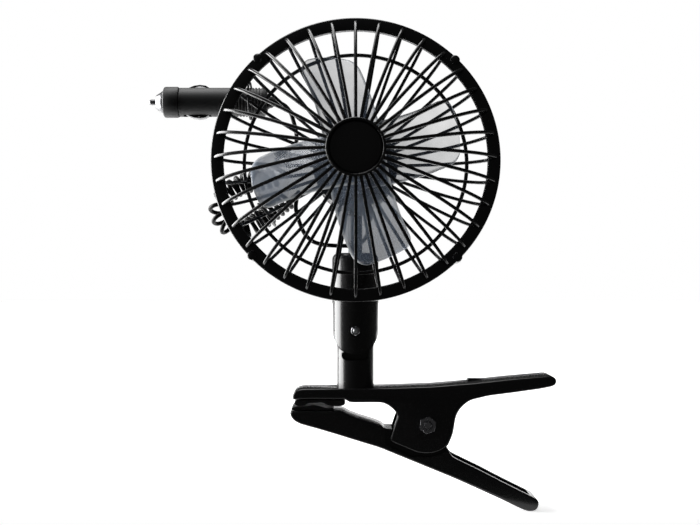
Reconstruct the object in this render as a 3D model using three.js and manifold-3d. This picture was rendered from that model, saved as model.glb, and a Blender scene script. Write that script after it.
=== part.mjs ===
// Clip fan: a small caged fan on a swivel neck, carried by a spring clamp, with a coiled cord
// and an accessory plug. Millimetres, +Z up, the fan faces -Y, the clamp's mouth opens to -X.
// The origin is on the flat underside of the clamp's upper jaw, below the neck's axis.
import * as THREE from 'three';
import { mergeVertices } from 'three/addons/utils/BufferGeometryUtils.js';
import Module from 'manifold-3d';

const wasm = await Module();
wasm.setup();

// ---------------------------------------------------------------- driving dimensions
const GAP = 0.3; // clearance between pieces that rest on each other
const RUN = 0.35; // radial clearance of a turning fit
const SCREW_FIT = 0.1; // radial room round a screw in its thread
const THREAD = 0.12; // and round a bolt in its nut
const MERGE = 0.01; // joined lengths run this far into each other
const EPS = 0.6; // how far a cutter runs past the face that it opens
const OVER = 2; // how far a long cutter runs past the piece
const DEG = Math.PI / 180;

// clamp
const CLAMP_W = 30; // full width of both levers
const WEB_T = 2.5; // thickness of the upper lever's cheeks
const LUG_T = 2.5; // thickness of the lower lever's side walls at the pivot
const PIVOT = { x: 47.6, z: -14.5 };
const PIVOT_R = 3; // pivot bolt
const PIVOT_HEAD = { r: 5, h: 2.9, socket: 3, deep: 1.8 };
const BOLT_OUT = 1.1; // how far the pivot bolt stands out of its nut
const NUT_AF = 10; // across the flats of the pivot nut
const NUT_H = 4;
const NUT_TURN = 20.5; // degrees that the pivot nut is turned
const JAW_TOP = 9.4; // top of the upper jaw above its flat underside
const PAD_T = 2.2; // thickness of the rubber jaw pads
const CHEEK_R = 20; // the cheeks end on this radius about the pivot
const CHEEK_TIP = { x: 22.4, z: -25.4 }; // the cheeks' lower front corner
const CHEEK_CLEAR = 1.6; // room that the lower lever leaves round the cheeks
const TIP_CLEAR = 0.5; // and in front of that corner when the clamp opens
const LUG_R = 8.5; // the lower lever's lugs about the pivot
const SLEEVE_R = 4.6;
const SPRING_R = 6.1; // mean radius of the clamp spring's turns
const SPRING_WIRE = 1.8;
const SPRING_TURNS = 5;
const SPRING_UP = 36; // direction of the leg below the upper lever, degrees
const SPRING_DOWN = 52; // direction of the leg in the lower lever's channel
const LEG_UP = 26.6;
const LEG_DOWN = 33.4;
const SPRING_SIDE = 0.7; // room at each end of the spring

// post and neck
const POST_R = 12.5;
const NECK_R = 15.5;
const NECK_TOP = 99;
const TILT_Z = 47.5; // height of the tilt bolt
const LAP = 1.6; // gap between the two halves of the lap joint, filled by a washer
const LAP_GAP = 0.8; // room below the neck's round end
const NOTCH_DEEP = 3; // the notch below it ends this far in front of the post's middle
const NECK_WALL = 3;
const TILT_R = 1.5; // tilt bolt, M3
const TILT_WASHER_R = 9;
const TILT_NUT_AF = 5.5;
const TILT_NUT_H = 2.4;
const TILT_HEAD = { r: 2.75, h: 2, seat: 3.2, deep: 2.6 }; // its head at the back, and its recess
const TILT_NUT_SEAT = { r: 4, deep: 1.6 }; // the nut's recess at the front
const STEM_R = 4.6; // the stem that carries the head
const COLLAR_SEAT = 95.5; // the stem's collar rests here, in the neck's top
const STEM_COLLAR_R = 7;
const GUIDE_Z = 82; // lower end of the stem's bore
const STEM_ROOT = 125; // the stem is thicker above this height
const STEM_ROOT_R = 5.8;
const STEM_TOP = 141; // inside the pod's wall
const STEM_SIDES = 16;
const SWIVEL_SCREW = [1.6, 3.2, 1.8];
const WASHER_R = 8;
const WASHER_T = 1.2;
const SHOULDER = 4.5; // rounding of the neck's top edge

// head
const LEAN = 8; // degrees that the fan looks upwards
const HEAD = { y: -40, z: 160 }; // centre of the rim's front face
const RIM_R = 93.2;
const RIM_IN = 84.6;
const RIM_T = 3; // front ring
const REAR_RIM_T = 6; // rear ring, the wall of the drum
const RIBS = 36;
const RIB_W = 2.1;
const RIB_T = 2.6;
const RIB_STEPS = 4; // bends of a front rib
const REAR_STEPS = 3;
const RIB_END = 89.4; // ribs meet the rim at this radius
const FRONT_H = 30; // height of the front dome
const REAR_H = 28; // depth of the rear dome
const HUB_R = 18.8; // ring in the middle of the front cage
const CAP_R = 16.6; // the bare disc inside it
const CAP_LOW = 0.5; // it lies this far below the ring
const HUB_T = 3; // depth of the middle's recess
const HUB_FLOOR = 1.4;
const REAR_RING_R = 72.7;
const REAR_RING_W = 2.4;
const BOSS_R = 3.1; // four bosses on the rim that hold its screws
const BOSS_AT = 91.2;
const BOSSES = [45, 134, 224, 315]; // degrees round the rim
const RIM_SIDES = 36;
const CAGE_SCREW = [1.4, 2.5, 1.6]; // a screw: its radius, its head's radius and height
const SLOT = 0.7;

// motor and its pod
const POD_R = 26.5;
const POD_WALL = 2.2;
const POD_SIDES = 24;
const POD_FRONT = -28.3; // depth of the pod's front edge
const POD_BACK = -66;
const PLATE_R = 28;
const PLATE_T = 3;
const CAN_R = 13.8;
const CAN_L = 24;
const MOTOR_BOSS_R = 5;
const SHAFT_R = 1.15;
const MOTOR_SCREW = [1.3, 2.3, 1.3];
const MOTOR_SCREW_AT = 8;
const POD_SCREW_AT = (CAN_R + POD_R) / 2 + 0.35; // between the motor and the pod's wall
const POD_SCREW = [1.2, 2.2, 1.3];
const POD_SCREW_IN = 10; // how deep it runs into its post
const POD_POST_R = 3.4;
const CRADLE = { wall: 1.6, front: 10, long: 16, arm: 1.8 }; // the ring and arms that hold the motor
const TERMINAL = { at: 8, wide: 2.8, thick: 0.6, long: 6 };
const END_CAP_T = 2.2;
const SWITCH = { w: 13, h: 8.5, deep: 6 };
const ROCKER_TILT = 8; // degrees that the rocker leans at rest

// impeller
const BLADES = 4;
const BLADE_TIP = 68.5;
const BLADE_CHORD = 38;
const BLADE_DEPTH = 22;
const BLADE_T = 1.5;
const BLADE_PHASE = 106.5; // degrees, centre of the first blade's tip
const BLADE_SWEEP = 10; // degrees that the root lags the tip
const FAN_HUB_R = 16;
const FAN_BACK = -13;
const FAN_FRONT = 9;

// cord and plug
const GLAND = { x: 9, z: -50 }; // where the cord leaves the pod, in the head's own frame
const GLAND_R = 2.9;
const GLAND_END = -32.3; // the sleeve's end, in front of the cord's first point
const CORD_R = 1.4;
const CURL_R = 5.8; // from the curls' middle to the cord's middle
const CURL_PITCH = 3.7;
const CURL_STEPS = 8;
const CURL_SIDES = 5;
const CORD_SIDES = 8;
const LEAD_STEPS = 16;
const TAIL_STEPS = 9;
const PLUG = { y: 44.5, z: -30.4 }; // the plug's axis in the head's own frame
const PIN_TIP = -138; // places along the plug, from its tip to the cord
const NOSE_FRONT = -133.3;
const COLLAR_FRONT = -128;
const COLLAR_BACK = -118;
const SHOULDER_AT = -65; // the body narrows from here to its boot
const BOOT_SEAT = -59;
const PLUG_END = -52;
const PLUG_R = 9.7;
const COLLAR_R = 10.35;
const COLLAR_NECK_R = 6.4;
const COLLAR_NECK = 3; // how far the collar reaches into the body
const PIN_R = 1.9;
const PIN_HEAD = 1.7; // the pin's head, behind the collar's front
const FUSE_R = 3.2;
const FUSE_BACK = -93;
const BORE_END = -71; // the small spring rests here
const SPRING_OUT = 2.4; // the small spring: mean radius, wire and turns
const SPRING_THIN = 0.4;
const SPRING_COILS = 3;
const CONTACT = { front: -113.6, back: -97.2, wide: 4.4, high: 11.6 };
const CONTACT_T = 0.9;
const SLOT_FLOOR = 3.9;
const BOOT_IN = 4; // how far the boot reaches into the body
const BOOT_R = 4.6;
const CORD_IN = 3; // how far the cord runs into the boot
const GRIP = { first: -79.4, pitch: 4, wide: 2, deep: 0.5, grooves: 4 };
const TIE_R = 0.75;
const OVAL = 0.75; // below 1, a tie's ring is squarer than an ellipse
const TIES = {
  cord_tie_1: { x: -58.4, y: -32.5, z: -27.6, wide: 8.6, tall: 12.8, turn: 130 },
  cord_tie_2: { x: -65.5, y: -10, z: -26.6, wide: 8.6, tall: 12, turn: 103 },
  plug_tie: { x: -70, y: 44.2, z: -25, wide: 11.8, tall: 17.4, turn: 90, oval: 1 },
};

// ---------------------------------------------------------------- solids
function solid(geometry) {
  const g = geometry.clone();
  g.deleteAttribute('normal');
  g.deleteAttribute('uv');
  const m = mergeVertices(g, 1e-4);
  const mesh = new wasm.Mesh({
    numProp: 3,
    vertProperties: new Float32Array(m.attributes.position.array),
    triVerts: new Uint32Array(m.index.array),
  });
  return new wasm.Manifold(mesh);
}

function toGeometry(manifold) {
  const mesh = manifold.getMesh();
  const g = new THREE.BufferGeometry();
  g.setAttribute('position', new THREE.BufferAttribute(new Float32Array(mesh.vertProperties), 3));
  g.setIndex(new THREE.BufferAttribute(new Uint32Array(mesh.triVerts), 1));
  g.computeVertexNormals();
  return g;
}

const join = (...parts) => parts.reduce((a, b) => a.add(b));
const cut = (base, ...tools) => tools.reduce((a, b) => a.subtract(b), base);

function placed(geometry, { x = 0, y = 0, z = 0, rx = 0, ry = 0, rz = 0 }) {
  const turn = new THREE.Euler(rx, ry, rz);
  const at = new THREE.Matrix4().makeRotationFromEuler(turn).setPosition(x, y, z);
  return geometry.clone().applyMatrix4(at);
}

// A box between two corners.
function box(x0, x1, y0, y1, z0, z1) {
  const g = new THREE.BoxGeometry(x1 - x0, y1 - y0, z1 - z0);
  return solid(placed(g, { x: (x0 + x1) / 2, y: (y0 + y1) / 2, z: (z0 + z1) / 2 }));
}

// A cylinder along Z, between two heights.
function rodZ(r, z0, z1, sides = 24, x = 0, y = 0, r1 = r) {
  const g = new THREE.CylinderGeometry(r1, r, z1 - z0, sides).rotateX(Math.PI / 2);
  return solid(placed(g, { x, y, z: (z0 + z1) / 2 }));
}

// A cylinder along Y, between two places.
function rodY(r, y0, y1, sides = 24, x = 0, z = 0) {
  const g = new THREE.CylinderGeometry(r, r, y1 - y0, sides);
  return solid(placed(g, { x, y: (y0 + y1) / 2, z }));
}

// A cylinder or cone along X.
function rodX(r0, r1, x0, x1, sides = 24, y = 0, z = 0) {
  const g = new THREE.CylinderGeometry(r1, r0, x1 - x0, sides).rotateZ(-Math.PI / 2);
  return solid(placed(g, { x: (x0 + x1) / 2, y, z }));
}

// A turned piece about Z from [radius, height] points, bottom axis point first.
function turned(profile, sides = 36, turn = 0) {
  const points = profile.map(([r, z]) => new THREE.Vector2(r, z));
  return solid(new THREE.LatheGeometry(points, sides).rotateX(Math.PI / 2).rotateZ(turn));
}

// A flat ring about Z, turned half a facet so that the ribs meet its facets in their middle.
function ring(r0, r1, z0, z1, sides) {
  const profile = [[r0, z0], [r1, z0], [r1, z1], [r0, z1], [r0, z0]];
  return turned(profile, sides, Math.PI / sides);
}

function shapeOf(points) {
  return new THREE.Shape(points.map(([x, y]) => new THREE.Vector2(x, y)));
}

// An outline in X and Z, extruded along Y.
function slabY(points, y0, y1) {
  const g = new THREE.ExtrudeGeometry(shapeOf(points), { depth: y1 - y0, bevelEnabled: false });
  return solid(placed(g.rotateX(Math.PI / 2), { y: y1 }));
}

// An outline in Y and Z, extruded along X, before it is placed.
function slabX(points, x0, x1) {
  const g = new THREE.ExtrudeGeometry(shapeOf(points), { depth: x1 - x0, bevelEnabled: false });
  return g.rotateX(Math.PI / 2).rotateZ(Math.PI / 2).translate(x0, 0, 0);
}

// Points on an arc about a centre, in degrees.
function arc(cx, cz, r, from, to, steps) {
  const point = (i) => (from + ((to - from) * i) / steps) * DEG;
  return Array.from({ length: steps + 1 }, (_, i) => [
    cx + r * Math.cos(point(i)),
    cz + r * Math.sin(point(i)),
  ]);
}

// A hexagon prism along Y about a point.
function hexY(af, y0, y1, x, z, turn = 0) {
  const g = new THREE.CylinderGeometry(af / Math.sqrt(3), af / Math.sqrt(3), y1 - y0, 6);
  return solid(placed(g.rotateY(turn), { x, y: (y0 + y1) / 2, z }));
}

// A tube of so many sides along given points, built ring by ring with flat ends.
function tube(points, r, sides) {
  const at = points.map((p) => new THREE.Vector3(...p));
  const way = (i) => at[Math.min(i + 1, at.length - 1)].clone().sub(at[Math.max(i - 1, 0)]);
  const vertices = [];
  const faces = [];
  let side = new THREE.Vector3(0.3, 0.2, 1);
  at.forEach((p, i) => {
    const t = way(i).normalize();
    side = side.clone().addScaledVector(t, -side.dot(t)).normalize();
    const up = new THREE.Vector3().crossVectors(t, side);
    for (let k = 0; k < sides; k++) {
      const a = (2 * Math.PI * k) / sides;
      const v = p.clone().addScaledVector(side, r * Math.cos(a)).addScaledVector(up, r * Math.sin(a));
      vertices.push(v.x, v.y, v.z);
    }
  });
  for (let i = 0; i + 1 < at.length; i++) {
    for (let k = 0; k < sides; k++) {
      const [a, b] = [i * sides + k, i * sides + ((k + 1) % sides)];
      faces.push(a, b, b + sides, a, b + sides, a + sides);
    }
  }
  const last = (at.length - 1) * sides;
  for (let k = 1; k + 1 < sides; k++) faces.push(0, k + 1, k, last, last + k, last + k + 1);
  const g = new THREE.BufferGeometry();
  g.setAttribute('position', new THREE.Float32BufferAttribute(vertices, 3));
  g.setIndex(faces);
  return g;
}

// A plain cord along a smooth route.
function cord(route, steps) {
  const outline = Array.from({ length: CORD_SIDES }, (_, k) => {
    const a = (2 * Math.PI * k) / CORD_SIDES;
    return [CORD_R * Math.cos(a), CORD_R * Math.sin(a)];
  });
  const options = { steps, extrudePath: curveOf(route), bevelEnabled: false };
  return new THREE.ExtrudeGeometry(shapeOf(outline), options);
}

// The least gap between a tube's turns, from points on its middle line.
function leastGap(points, r, apart) {
  let least = Infinity;
  for (let i = 0; i < points.length; i++) {
    for (let j = i + apart; j < points.length; j++) {
      least = Math.min(least, Math.hypot(...points[i].map((v, k) => v - points[j][k])));
    }
  }
  return least - 2 * r;
}

// ---------------------------------------------------------------- materials and scene
const FINISH = {
  black: { color: 0x17181a, roughness: 0.42, metalness: 0 },
  dull: { color: 0x1d1e20, roughness: 0.7, metalness: 0 },
  rubber: { color: 0x101011, roughness: 0.85, metalness: 0 },
  smoke: { color: 0x9aa3ad, roughness: 0.25, metalness: 0 },
  steel: { color: 0xb4b6b8, roughness: 0.3, metalness: 1 },
  brass: { color: 0xb49a5a, roughness: 0.35, metalness: 1 },
  clear: { color: 0xd8dde0, roughness: 0.1, metalness: 0 },
};

const fan = new THREE.Group();
const head = new THREE.Group();
head.position.set(0, HEAD.y, HEAD.z);
head.rotation.x = (90 - LEAN) * DEG;
fan.add(head);
head.updateMatrixWorld(true);

function add(parent, name, shape, finish) {
  const geometry = shape.getMesh ? toGeometry(shape) : shape;
  const mesh = new THREE.Mesh(geometry, new THREE.MeshStandardMaterial(FINISH[finish]));
  mesh.name = name;
  parent.add(mesh);
}

// A solid given in the fan's frame, moved into the head's own frame.
function intoHead(manifold) {
  const g = toGeometry(manifold).applyMatrix4(head.matrixWorld.clone().invert());
  return solid(g);
}

// ---------------------------------------------------------------- clamp
const HALF = CLAMP_W / 2;
const CHEEK_Y = HALF - WEB_T; // inner face of a cheek
const LUG_Y = CHEEK_Y - GAP; // outer face of a lug
const WELL_Y = LUG_Y - LUG_T; // inner face of a lug

// Outline of the upper lever, from the nose round over the top to the handle and back below.
const UPPER = [
  [-36, JAW_TOP - 0.4], [-40.2, 7.6], [-41.9, 4.6], [-41.2, 1.6], [-38.5, PAD_T], [-6.5, PAD_T],
  [-4.2, 0], [17.6, 0], [21.5, -1.6], [24.8, -4.2], [27.4, -7.2], [27.9, -9.3], [26.8, -12.1],
  [CHEEK_TIP.x, CHEEK_TIP.z], [40.8, -33.3],
  ...arc(PIVOT.x, PIVOT.z, CHEEK_R - 0.6, 262, 316, 4),
  [64.5, -21], [65.4, -16], [65.9, -12], [67.2, -7.4], [70.4, -2.8], [75.7, 1.4], [88.2, 4.4],
  [104.1, 6.4], [122.6, 9], [131.4, 10.8], [133.2, 13.2], [132.6, 16], [129.5, 17.8],
  [99.9, 15.2], [79.3, 12.9], [49.9, 10.5], [14, JAW_TOP],
].reverse();

// What lies between the cheeks: the well for the spring and the lower lever's lugs.
const WELL = [
  [19.5, -40], [19.5, -2.5], [25, 3], [34, 6], [66, 7.6], [73, 6.5], [70, -2], [70, -40],
];

// A groove along the underside of the upper handle.
const UPPER_GROOVE = [[73.5, -2], [73.5, 6.6], [86, 8.8], [124, 13.2], [127, 12], [126, 6], [90, 2]];

// The dark notch in the post's front, below the neck's round foot.
const NOTCH_TOP = TILT_Z - NECK_R;
const NOTCH = [
  [-9.2, NOTCH_TOP + 2], [-9.2, NOTCH_TOP - 2.4], [-7.4, NOTCH_TOP - 4.6], [7.2, NOTCH_TOP - 4.6],
  [8.8, NOTCH_TOP - 2.4], [8.8, NOTCH_TOP + 2],
].reverse();

function upperLever() {
  const body = slabY(UPPER, -HALF, HALF);
  const well = slabY(WELL, -CHEEK_Y, CHEEK_Y);
  const groove = slabY(UPPER_GROOVE, -HALF + 4, HALF - 4);
  const bolt = rodY(PIVOT_R + RUN, -HALF - OVER, HALF + OVER, 16, PIVOT.x, PIVOT.z);
  const post = rodZ(POST_R, JAW_TOP - EPS, TILT_Z, 24);
  const round = rodY(POST_R, -POST_R, POST_R, 24, 0, TILT_Z);
  const tongue = round.intersect(rodZ(POST_R, TILT_Z - POST_R, TILT_Z + POST_R, 24));
  const lap = rodY(NECK_R + LAP_GAP, -POST_R - OVER, LAP / 2, 24, 0, TILT_Z);
  const notch = slabY(NOTCH, -POST_R - OVER, -NOTCH_DEEP);
  const hole = rodY(TILT_R + RUN, -POST_R, POST_R + OVER, 16, 0, TILT_Z);
  const seat = rodY(TILT_HEAD.seat, POST_R - TILT_HEAD.deep, POST_R + OVER, 20, 0, TILT_Z);
  return cut(join(cut(body, well, groove, bolt), cut(join(post, tongue), lap, notch, hole, seat)));
}

// The region that the cheeks take from the lower lever, with room to turn.
function cheekRoom() {
  const grown = CHEEK_R + CHEEK_CLEAR;
  const swing = Math.hypot(PIVOT.x - CHEEK_TIP.x, PIVOT.z - CHEEK_TIP.z);
  const front = PIVOT.x - swing - TIP_CLEAR;
  return [
    [front, 0], [front, -27], [24, -30], [38, -36.2],
    ...arc(PIVOT.x, PIVOT.z, grown, 256, 318, 5), [69.2, -26], [72, 0],
  ];
}

// Outline of the lower lever, from the nose along the top to the handle's end and back below.
const LOWER = [
  [-43.8, -6.8], [-41.5, -3.2 - PAD_T], [-13.5, -3.1 - PAD_T], [-8.2, -5.6], [-4.2, -8.1],
  [3, -10.8], [11, -13.2], [17.9, -15.7], [19.4, -17.6], [36, -17.6],
  ...arc(PIVOT.x, PIVOT.z, LUG_R, 196, 0, 8), [57.5, -24], [62.6, -33.5], [64.6, -36.4],
  [84.3, -45.9], [99, -53.6], [112, -60], [121.3, -64.6], [121.4, -68.4], [119.3, -71.6],
  [114, -72.2], [108.1, -69.6], [96.2, -63.9], [80.3, -56.7], [64.5, -49.7], [48.3, -43.1],
  [32.1, -36.5], [15.9, -29.9], [0.7, -25.3], [-14.1, -20.7], [-25.4, -17.4], [-37.3, -14.1],
  [-41.6, -11.4],
].reverse();

// The channel in the lower lever, open at the top.
const CHANNEL = [
  [24, 0], [24, -30.5], [32.1, -33.5], [48.3, -40.1], [64.5, -46.7], [80.3, -53.7], [96.2, -60.9],
  [108, -66.4], [115.5, -67.4], [116.5, -56], [100, -40], [66, 0],
];

function lowerLever() {
  const body = slabY(LOWER, -HALF, HALF);
  const sides = [-1, 1].map((s) => {
    const [a, b] = [s * LUG_Y, s * (HALF + OVER)];
    return slabY(cheekRoom(), Math.min(a, b), Math.max(a, b));
  });
  const channel = slabY(CHANNEL, -WELL_Y, WELL_Y);
  const hole = rodY(PIVOT_R + RUN, -HALF, HALF, 16, PIVOT.x, PIVOT.z);
  return cut(body, ...sides, channel, hole);
}

// The moulded rubber pads on the two noses, with the bulge behind the upper one.
function upperPad() {
  const top = PAD_T - GAP;
  const profile = [
    [-38, top], [-40.6, 0.6], [-40.2, -1.6], [-37.5, -2.5], [-33.4, -1.9], [-31.6, -0.6],
    [-21.4, 0], [-19.4, -1.5], [-15.5, -2.5], [-10.2, -2.5], [-6.6, -1.7], [-7, top],
  ].reverse();
  return slabY(profile, -HALF + 0.6, HALF - 0.6);
}

function lowerPad() {
  const base = -3.1 - PAD_T + GAP;
  const profile = [
    [-41.2, base], [-42.9, -4.2], [-41, -2.9], [-36.6, -2.8], [-31.8, -2.5], [-28, -1.7],
    [-23.6, -2.2], [-19.5, -3.6], [-15, -3.2], [-13.6, base],
  ].reverse();
  return slabY(profile, -HALF + 0.6, HALF - 0.6);
}

function pivotBolt() {
  const [seat, { r, h, socket, deep }] = [HALF + GAP, PIVOT_HEAD];
  const shank = rodY(PIVOT_R, -HALF - GAP - NUT_H - BOLT_OUT, seat, 16, PIVOT.x, PIVOT.z);
  const top = rodY(r, seat - MERGE, seat + h, 16, PIVOT.x, PIVOT.z);
  return cut(join(shank, top), hexY(socket, seat + h - deep, seat + h + EPS, PIVOT.x, PIVOT.z));
}

function nut(af, y0, y1, bore, x, z, turn) {
  return cut(hexY(af, y0, y1, x, z, turn), rodY(bore, y0 - 1, y1 + 1, 20, x, z));
}

// The torsion spring about the pivot, with a leg under the upper lever and one in the channel.
function springLine() {
  const reach = WELL_Y - SPRING_WIRE / 2 - SPRING_SIDE;
  const [start, end] = [SPRING_UP * DEG, -SPRING_DOWN * DEG + 2 * Math.PI * SPRING_TURNS];
  const steps = CURL_STEPS * SPRING_TURNS;
  const turns = Array.from({ length: steps + 1 }, (_, i) => {
    const a = start + 90 * DEG + ((end - start - 180 * DEG) * i) / steps;
    const y = -reach + (2 * reach * i) / steps;
    return [PIVOT.x + SPRING_R * Math.cos(a), y, PIVOT.z + SPRING_R * Math.sin(a)];
  });
  const first = turns[0];
  const last = turns[turns.length - 1];
  const legUp = [first[0] + LEG_UP * Math.cos(start), first[1], first[2] + LEG_UP * Math.sin(start)];
  const legDown = [last[0] + LEG_DOWN * Math.cos(end), last[1], last[2] + LEG_DOWN * Math.sin(end)];
  return { turns, line: [legUp, ...turns, legDown] };
}

// ---------------------------------------------------------------- neck
const CEILING = TILT_Z + NECK_R + LAP_GAP; // the neck is a full tube above this height

function neckBody() {
  const profile = [
    [0, TILT_Z], [NECK_R, TILT_Z], [NECK_R, NECK_TOP - SHOULDER],
    [NECK_R - SHOULDER * 0.3, NECK_TOP - SHOULDER * 0.3], [NECK_R - SHOULDER, NECK_TOP], [0, NECK_TOP],
  ];
  const barrel = turned(profile, 24);
  const round = rodY(NECK_R, -NECK_R, NECK_R, 24, 0, TILT_Z);
  const foot = round.intersect(rodZ(NECK_R, TILT_Z - NECK_R, TILT_Z + 1, 24));
  const behind = box(-NECK_R - OVER, NECK_R + OVER, -LAP / 2, NECK_R + OVER, TILT_Z - NECK_R - OVER, CEILING);
  const bore = rodZ(NECK_R - NECK_WALL, CEILING - OVER, GUIDE_Z, 24);
  const mouth = join(
    rodZ(STEM_R + RUN, GUIDE_Z - OVER, NECK_TOP, STEM_SIDES),
    rodZ(STEM_COLLAR_R + RUN, COLLAR_SEAT, NECK_TOP + OVER, STEM_SIDES),
  );
  const hole = rodY(TILT_R + RUN, -NECK_R - OVER, OVER, 16, 0, TILT_Z);
  const seat = rodY(TILT_NUT_SEAT.r, -NECK_R - OVER, -NECK_R + TILT_NUT_SEAT.deep, 16, 0, TILT_Z);
  const core = bore.intersect(box(-20, 20, -20, 20, CEILING - EPS, NECK_TOP));
  return cut(join(barrel, foot), behind, core, mouth, hole, seat);
}

function tiltBolt() {
  const back = POST_R - TILT_HEAD.deep + GAP;
  const front = -NECK_R + TILT_NUT_SEAT.deep - GAP - TILT_NUT_H - EPS;
  const top = rodY(TILT_HEAD.r, back, back + TILT_HEAD.h, 20, 0, TILT_Z);
  return join(rodY(TILT_R, front, back + EPS, 16, 0, TILT_Z), top);
}

// ---------------------------------------------------------------- cages
const frontRise = (r) => FRONT_H * (1 - (r / (RIB_END + 0.4)) ** 1.65) ** 0.57;
const rearFall = (r) => -REAR_H * (1 - (r / (RIB_END + 0.4)) ** 2.2) ** 0.45;

// One rib as a bent strip that follows a dome from the rim to the middle.
function rib(curve, from, to, thick, seat, steps) {
  const radius = (i) => to + (from - to) * Math.sin((0.5 * Math.PI * i) / steps);
  const outer = Array.from({ length: steps + 1 }, (_, i) => [radius(i), curve(radius(i))]);
  outer[steps][1] = seat;
  const inner = outer.map(([r, z]) => [r - thick * 0.75 * (r / from) ** 3, z - thick * Math.sign(curve(to))]);
  const outline = curve(to) > 0 ? [...inner, ...outer.reverse()] : [...outer, ...inner.reverse()];
  const g = new THREE.ExtrudeGeometry(shapeOf(outline), { depth: RIB_W, bevelEnabled: false });
  return placed(g.rotateX(Math.PI / 2), { y: RIB_W / 2 });
}

function ribs(curve, from, to, thick, seat, steps) {
  const one = rib(curve, from, to, thick, seat, steps);
  return Array.from({ length: RIBS }, (_, i) => {
    return solid(placed(one, { rz: ((360 / RIBS) * i) * DEG }));
  });
}

function bosses(r, z0, z1) {
  const at = (a) => [BOSS_AT * Math.cos(a * DEG), BOSS_AT * Math.sin(a * DEG)];
  return BOSSES.map((a) => rodZ(r, z0, z1, 10, ...at(a)));
}

function frontCage() {
  const band = ring(RIM_IN, RIM_R, -RIM_T, 0, RIM_SIDES);
  const hub = ring(CAP_R + GAP, HUB_R, FRONT_H - HUB_T - HUB_FLOOR, FRONT_H, 24);
  const floor = ring(4, HUB_R - 1, FRONT_H - HUB_T - HUB_FLOOR, FRONT_H - HUB_T, 24);
  const spokes = ribs(frontRise, RIB_END, HUB_R - 1, RIB_T, RIB_T - RIM_T + 0.2, RIB_STEPS);
  const body = join(band, hub, floor, ...bosses(BOSS_R, -RIM_T, 0.5), ...spokes);
  return cut(body, ...bosses(CAGE_SCREW[0] + SCREW_FIT, -RIM_T - OVER, -0.6));
}

function rearCage() {
  const top = -RIM_T - GAP;
  const band = ring(RIM_IN + 1.6, RIM_R - 0.6, top - REAR_RIM_T, top, RIM_SIDES);
  const seam = rearFall(REAR_RING_R);
  const [low, high] = [seam + 0.5, seam + RIB_T - 0.3];
  const hoop = ring(REAR_RING_R - REAR_RING_W / 2, REAR_RING_R + REAR_RING_W / 2, low, high, RIM_SIDES);
  const plate = ring(MOTOR_BOSS_R + GAP, PLATE_R, -REAR_H, -REAR_H + PLATE_T, 24);
  const spokes = ribs(rearFall, RIB_END, PLATE_R - 1.5, RIB_T, top - 2.6, REAR_STEPS);
  const body = join(band, hoop, plate, ...bosses(BOSS_R, top - REAR_RIM_T, top), ...spokes);
  const screws = bosses(CAGE_SCREW[0] + RUN, top - REAR_RIM_T - OVER, OVER);
  const motor = [-1, 1].map((s) => rodZ(MOTOR_SCREW[0] + RUN, -REAR_H - OVER, 0, 12, s * MOTOR_SCREW_AT, 0));
  const pod = [-1, 1].map((s) => rodZ(POD_SCREW[0] + RUN, -REAR_H - OVER, 0, 12, 0, s * POD_SCREW_AT));
  return cut(body, ...screws, ...motor, ...pod);
}

// A screw along Z with a slotted head, from its seat to its tip.
function screwZ(x, y, seat, tip, [r, headR, headH]) {
  const up = Math.sign(seat - tip);
  const shank = rodZ(r, Math.min(seat, tip), Math.max(seat, tip), 8, x, y);
  const end = seat + up * headH;
  const top = rodZ(headR, Math.min(seat, end), Math.max(seat, end), 12, x, y);
  const slot = box(x - headR, x + headR, y - SLOT / 2, y + SLOT / 2, end - SLOT, end + SLOT);
  return cut(join(shank, top), slot);
}

// ---------------------------------------------------------------- motor pod
function podHousing() {
  const r = POD_R;
  const inner = r - POD_WALL;
  const shell = turned([
    [0, POD_BACK], [r - 13.5, POD_BACK], [r - 6.5, POD_BACK + 1.6], [r - 2.1, POD_BACK + 5.4],
    [r, POD_BACK + 11], [r, POD_FRONT], [inner, POD_FRONT], [inner, POD_BACK + 12],
    [r - 4.1, POD_BACK + 7.2], [r - 7.9, POD_BACK + 4], [r - 14.5, POD_BACK + POD_WALL],
    [0, POD_BACK + POD_WALL],
  ], POD_SIDES);
  const posts = [-1, 1].map((s) => {
    const [y, floor] = [s * POD_SCREW_AT, POD_FRONT - POD_SCREW_IN - OVER];
    const post = rodZ(POD_POST_R, POD_BACK + 4, POD_FRONT, 14, 0, y);
    return cut(post, rodZ(POD_SCREW[0] + SCREW_FIT, floor, POD_FRONT + OVER, 12, 0, y));
  });
  const high = POD_FRONT - CRADLE.front;
  const cradle = ring(CAN_R + GAP, CAN_R + CRADLE.wall, high - CRADLE.long, high, 20);
  const arms = [0, 1, 2, 3].map((i) => {
    const length = inner - CAN_R - 0.5;
    const arm = new THREE.BoxGeometry(length, CRADLE.arm, CRADLE.long - OVER);
    arm.translate(CAN_R + 1 + length / 2, 0, high - (CRADLE.long + OVER) / 2);
    return solid(arm.rotateZ((45 + 90 * i) * DEG));
  });
  const window = box(-SWITCH.w / 2, SWITCH.w / 2, -SWITCH.h / 2, SWITCH.h / 2, POD_BACK - OVER, POD_BACK + 6);
  const glandHole = rodY(GLAND_R + RUN, -POD_R - OVER, -POD_R + 8, 16, GLAND.x, GLAND.z);
  const hollow = rodZ(inner - MERGE, POD_BACK + 12, POD_FRONT + OVER, POD_SIDES);
  const outside = cut(intoHead(stem()), hollow);
  return cut(join(shell, outside, ...posts, cradle, ...arms), window, glandHole);
}

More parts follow.
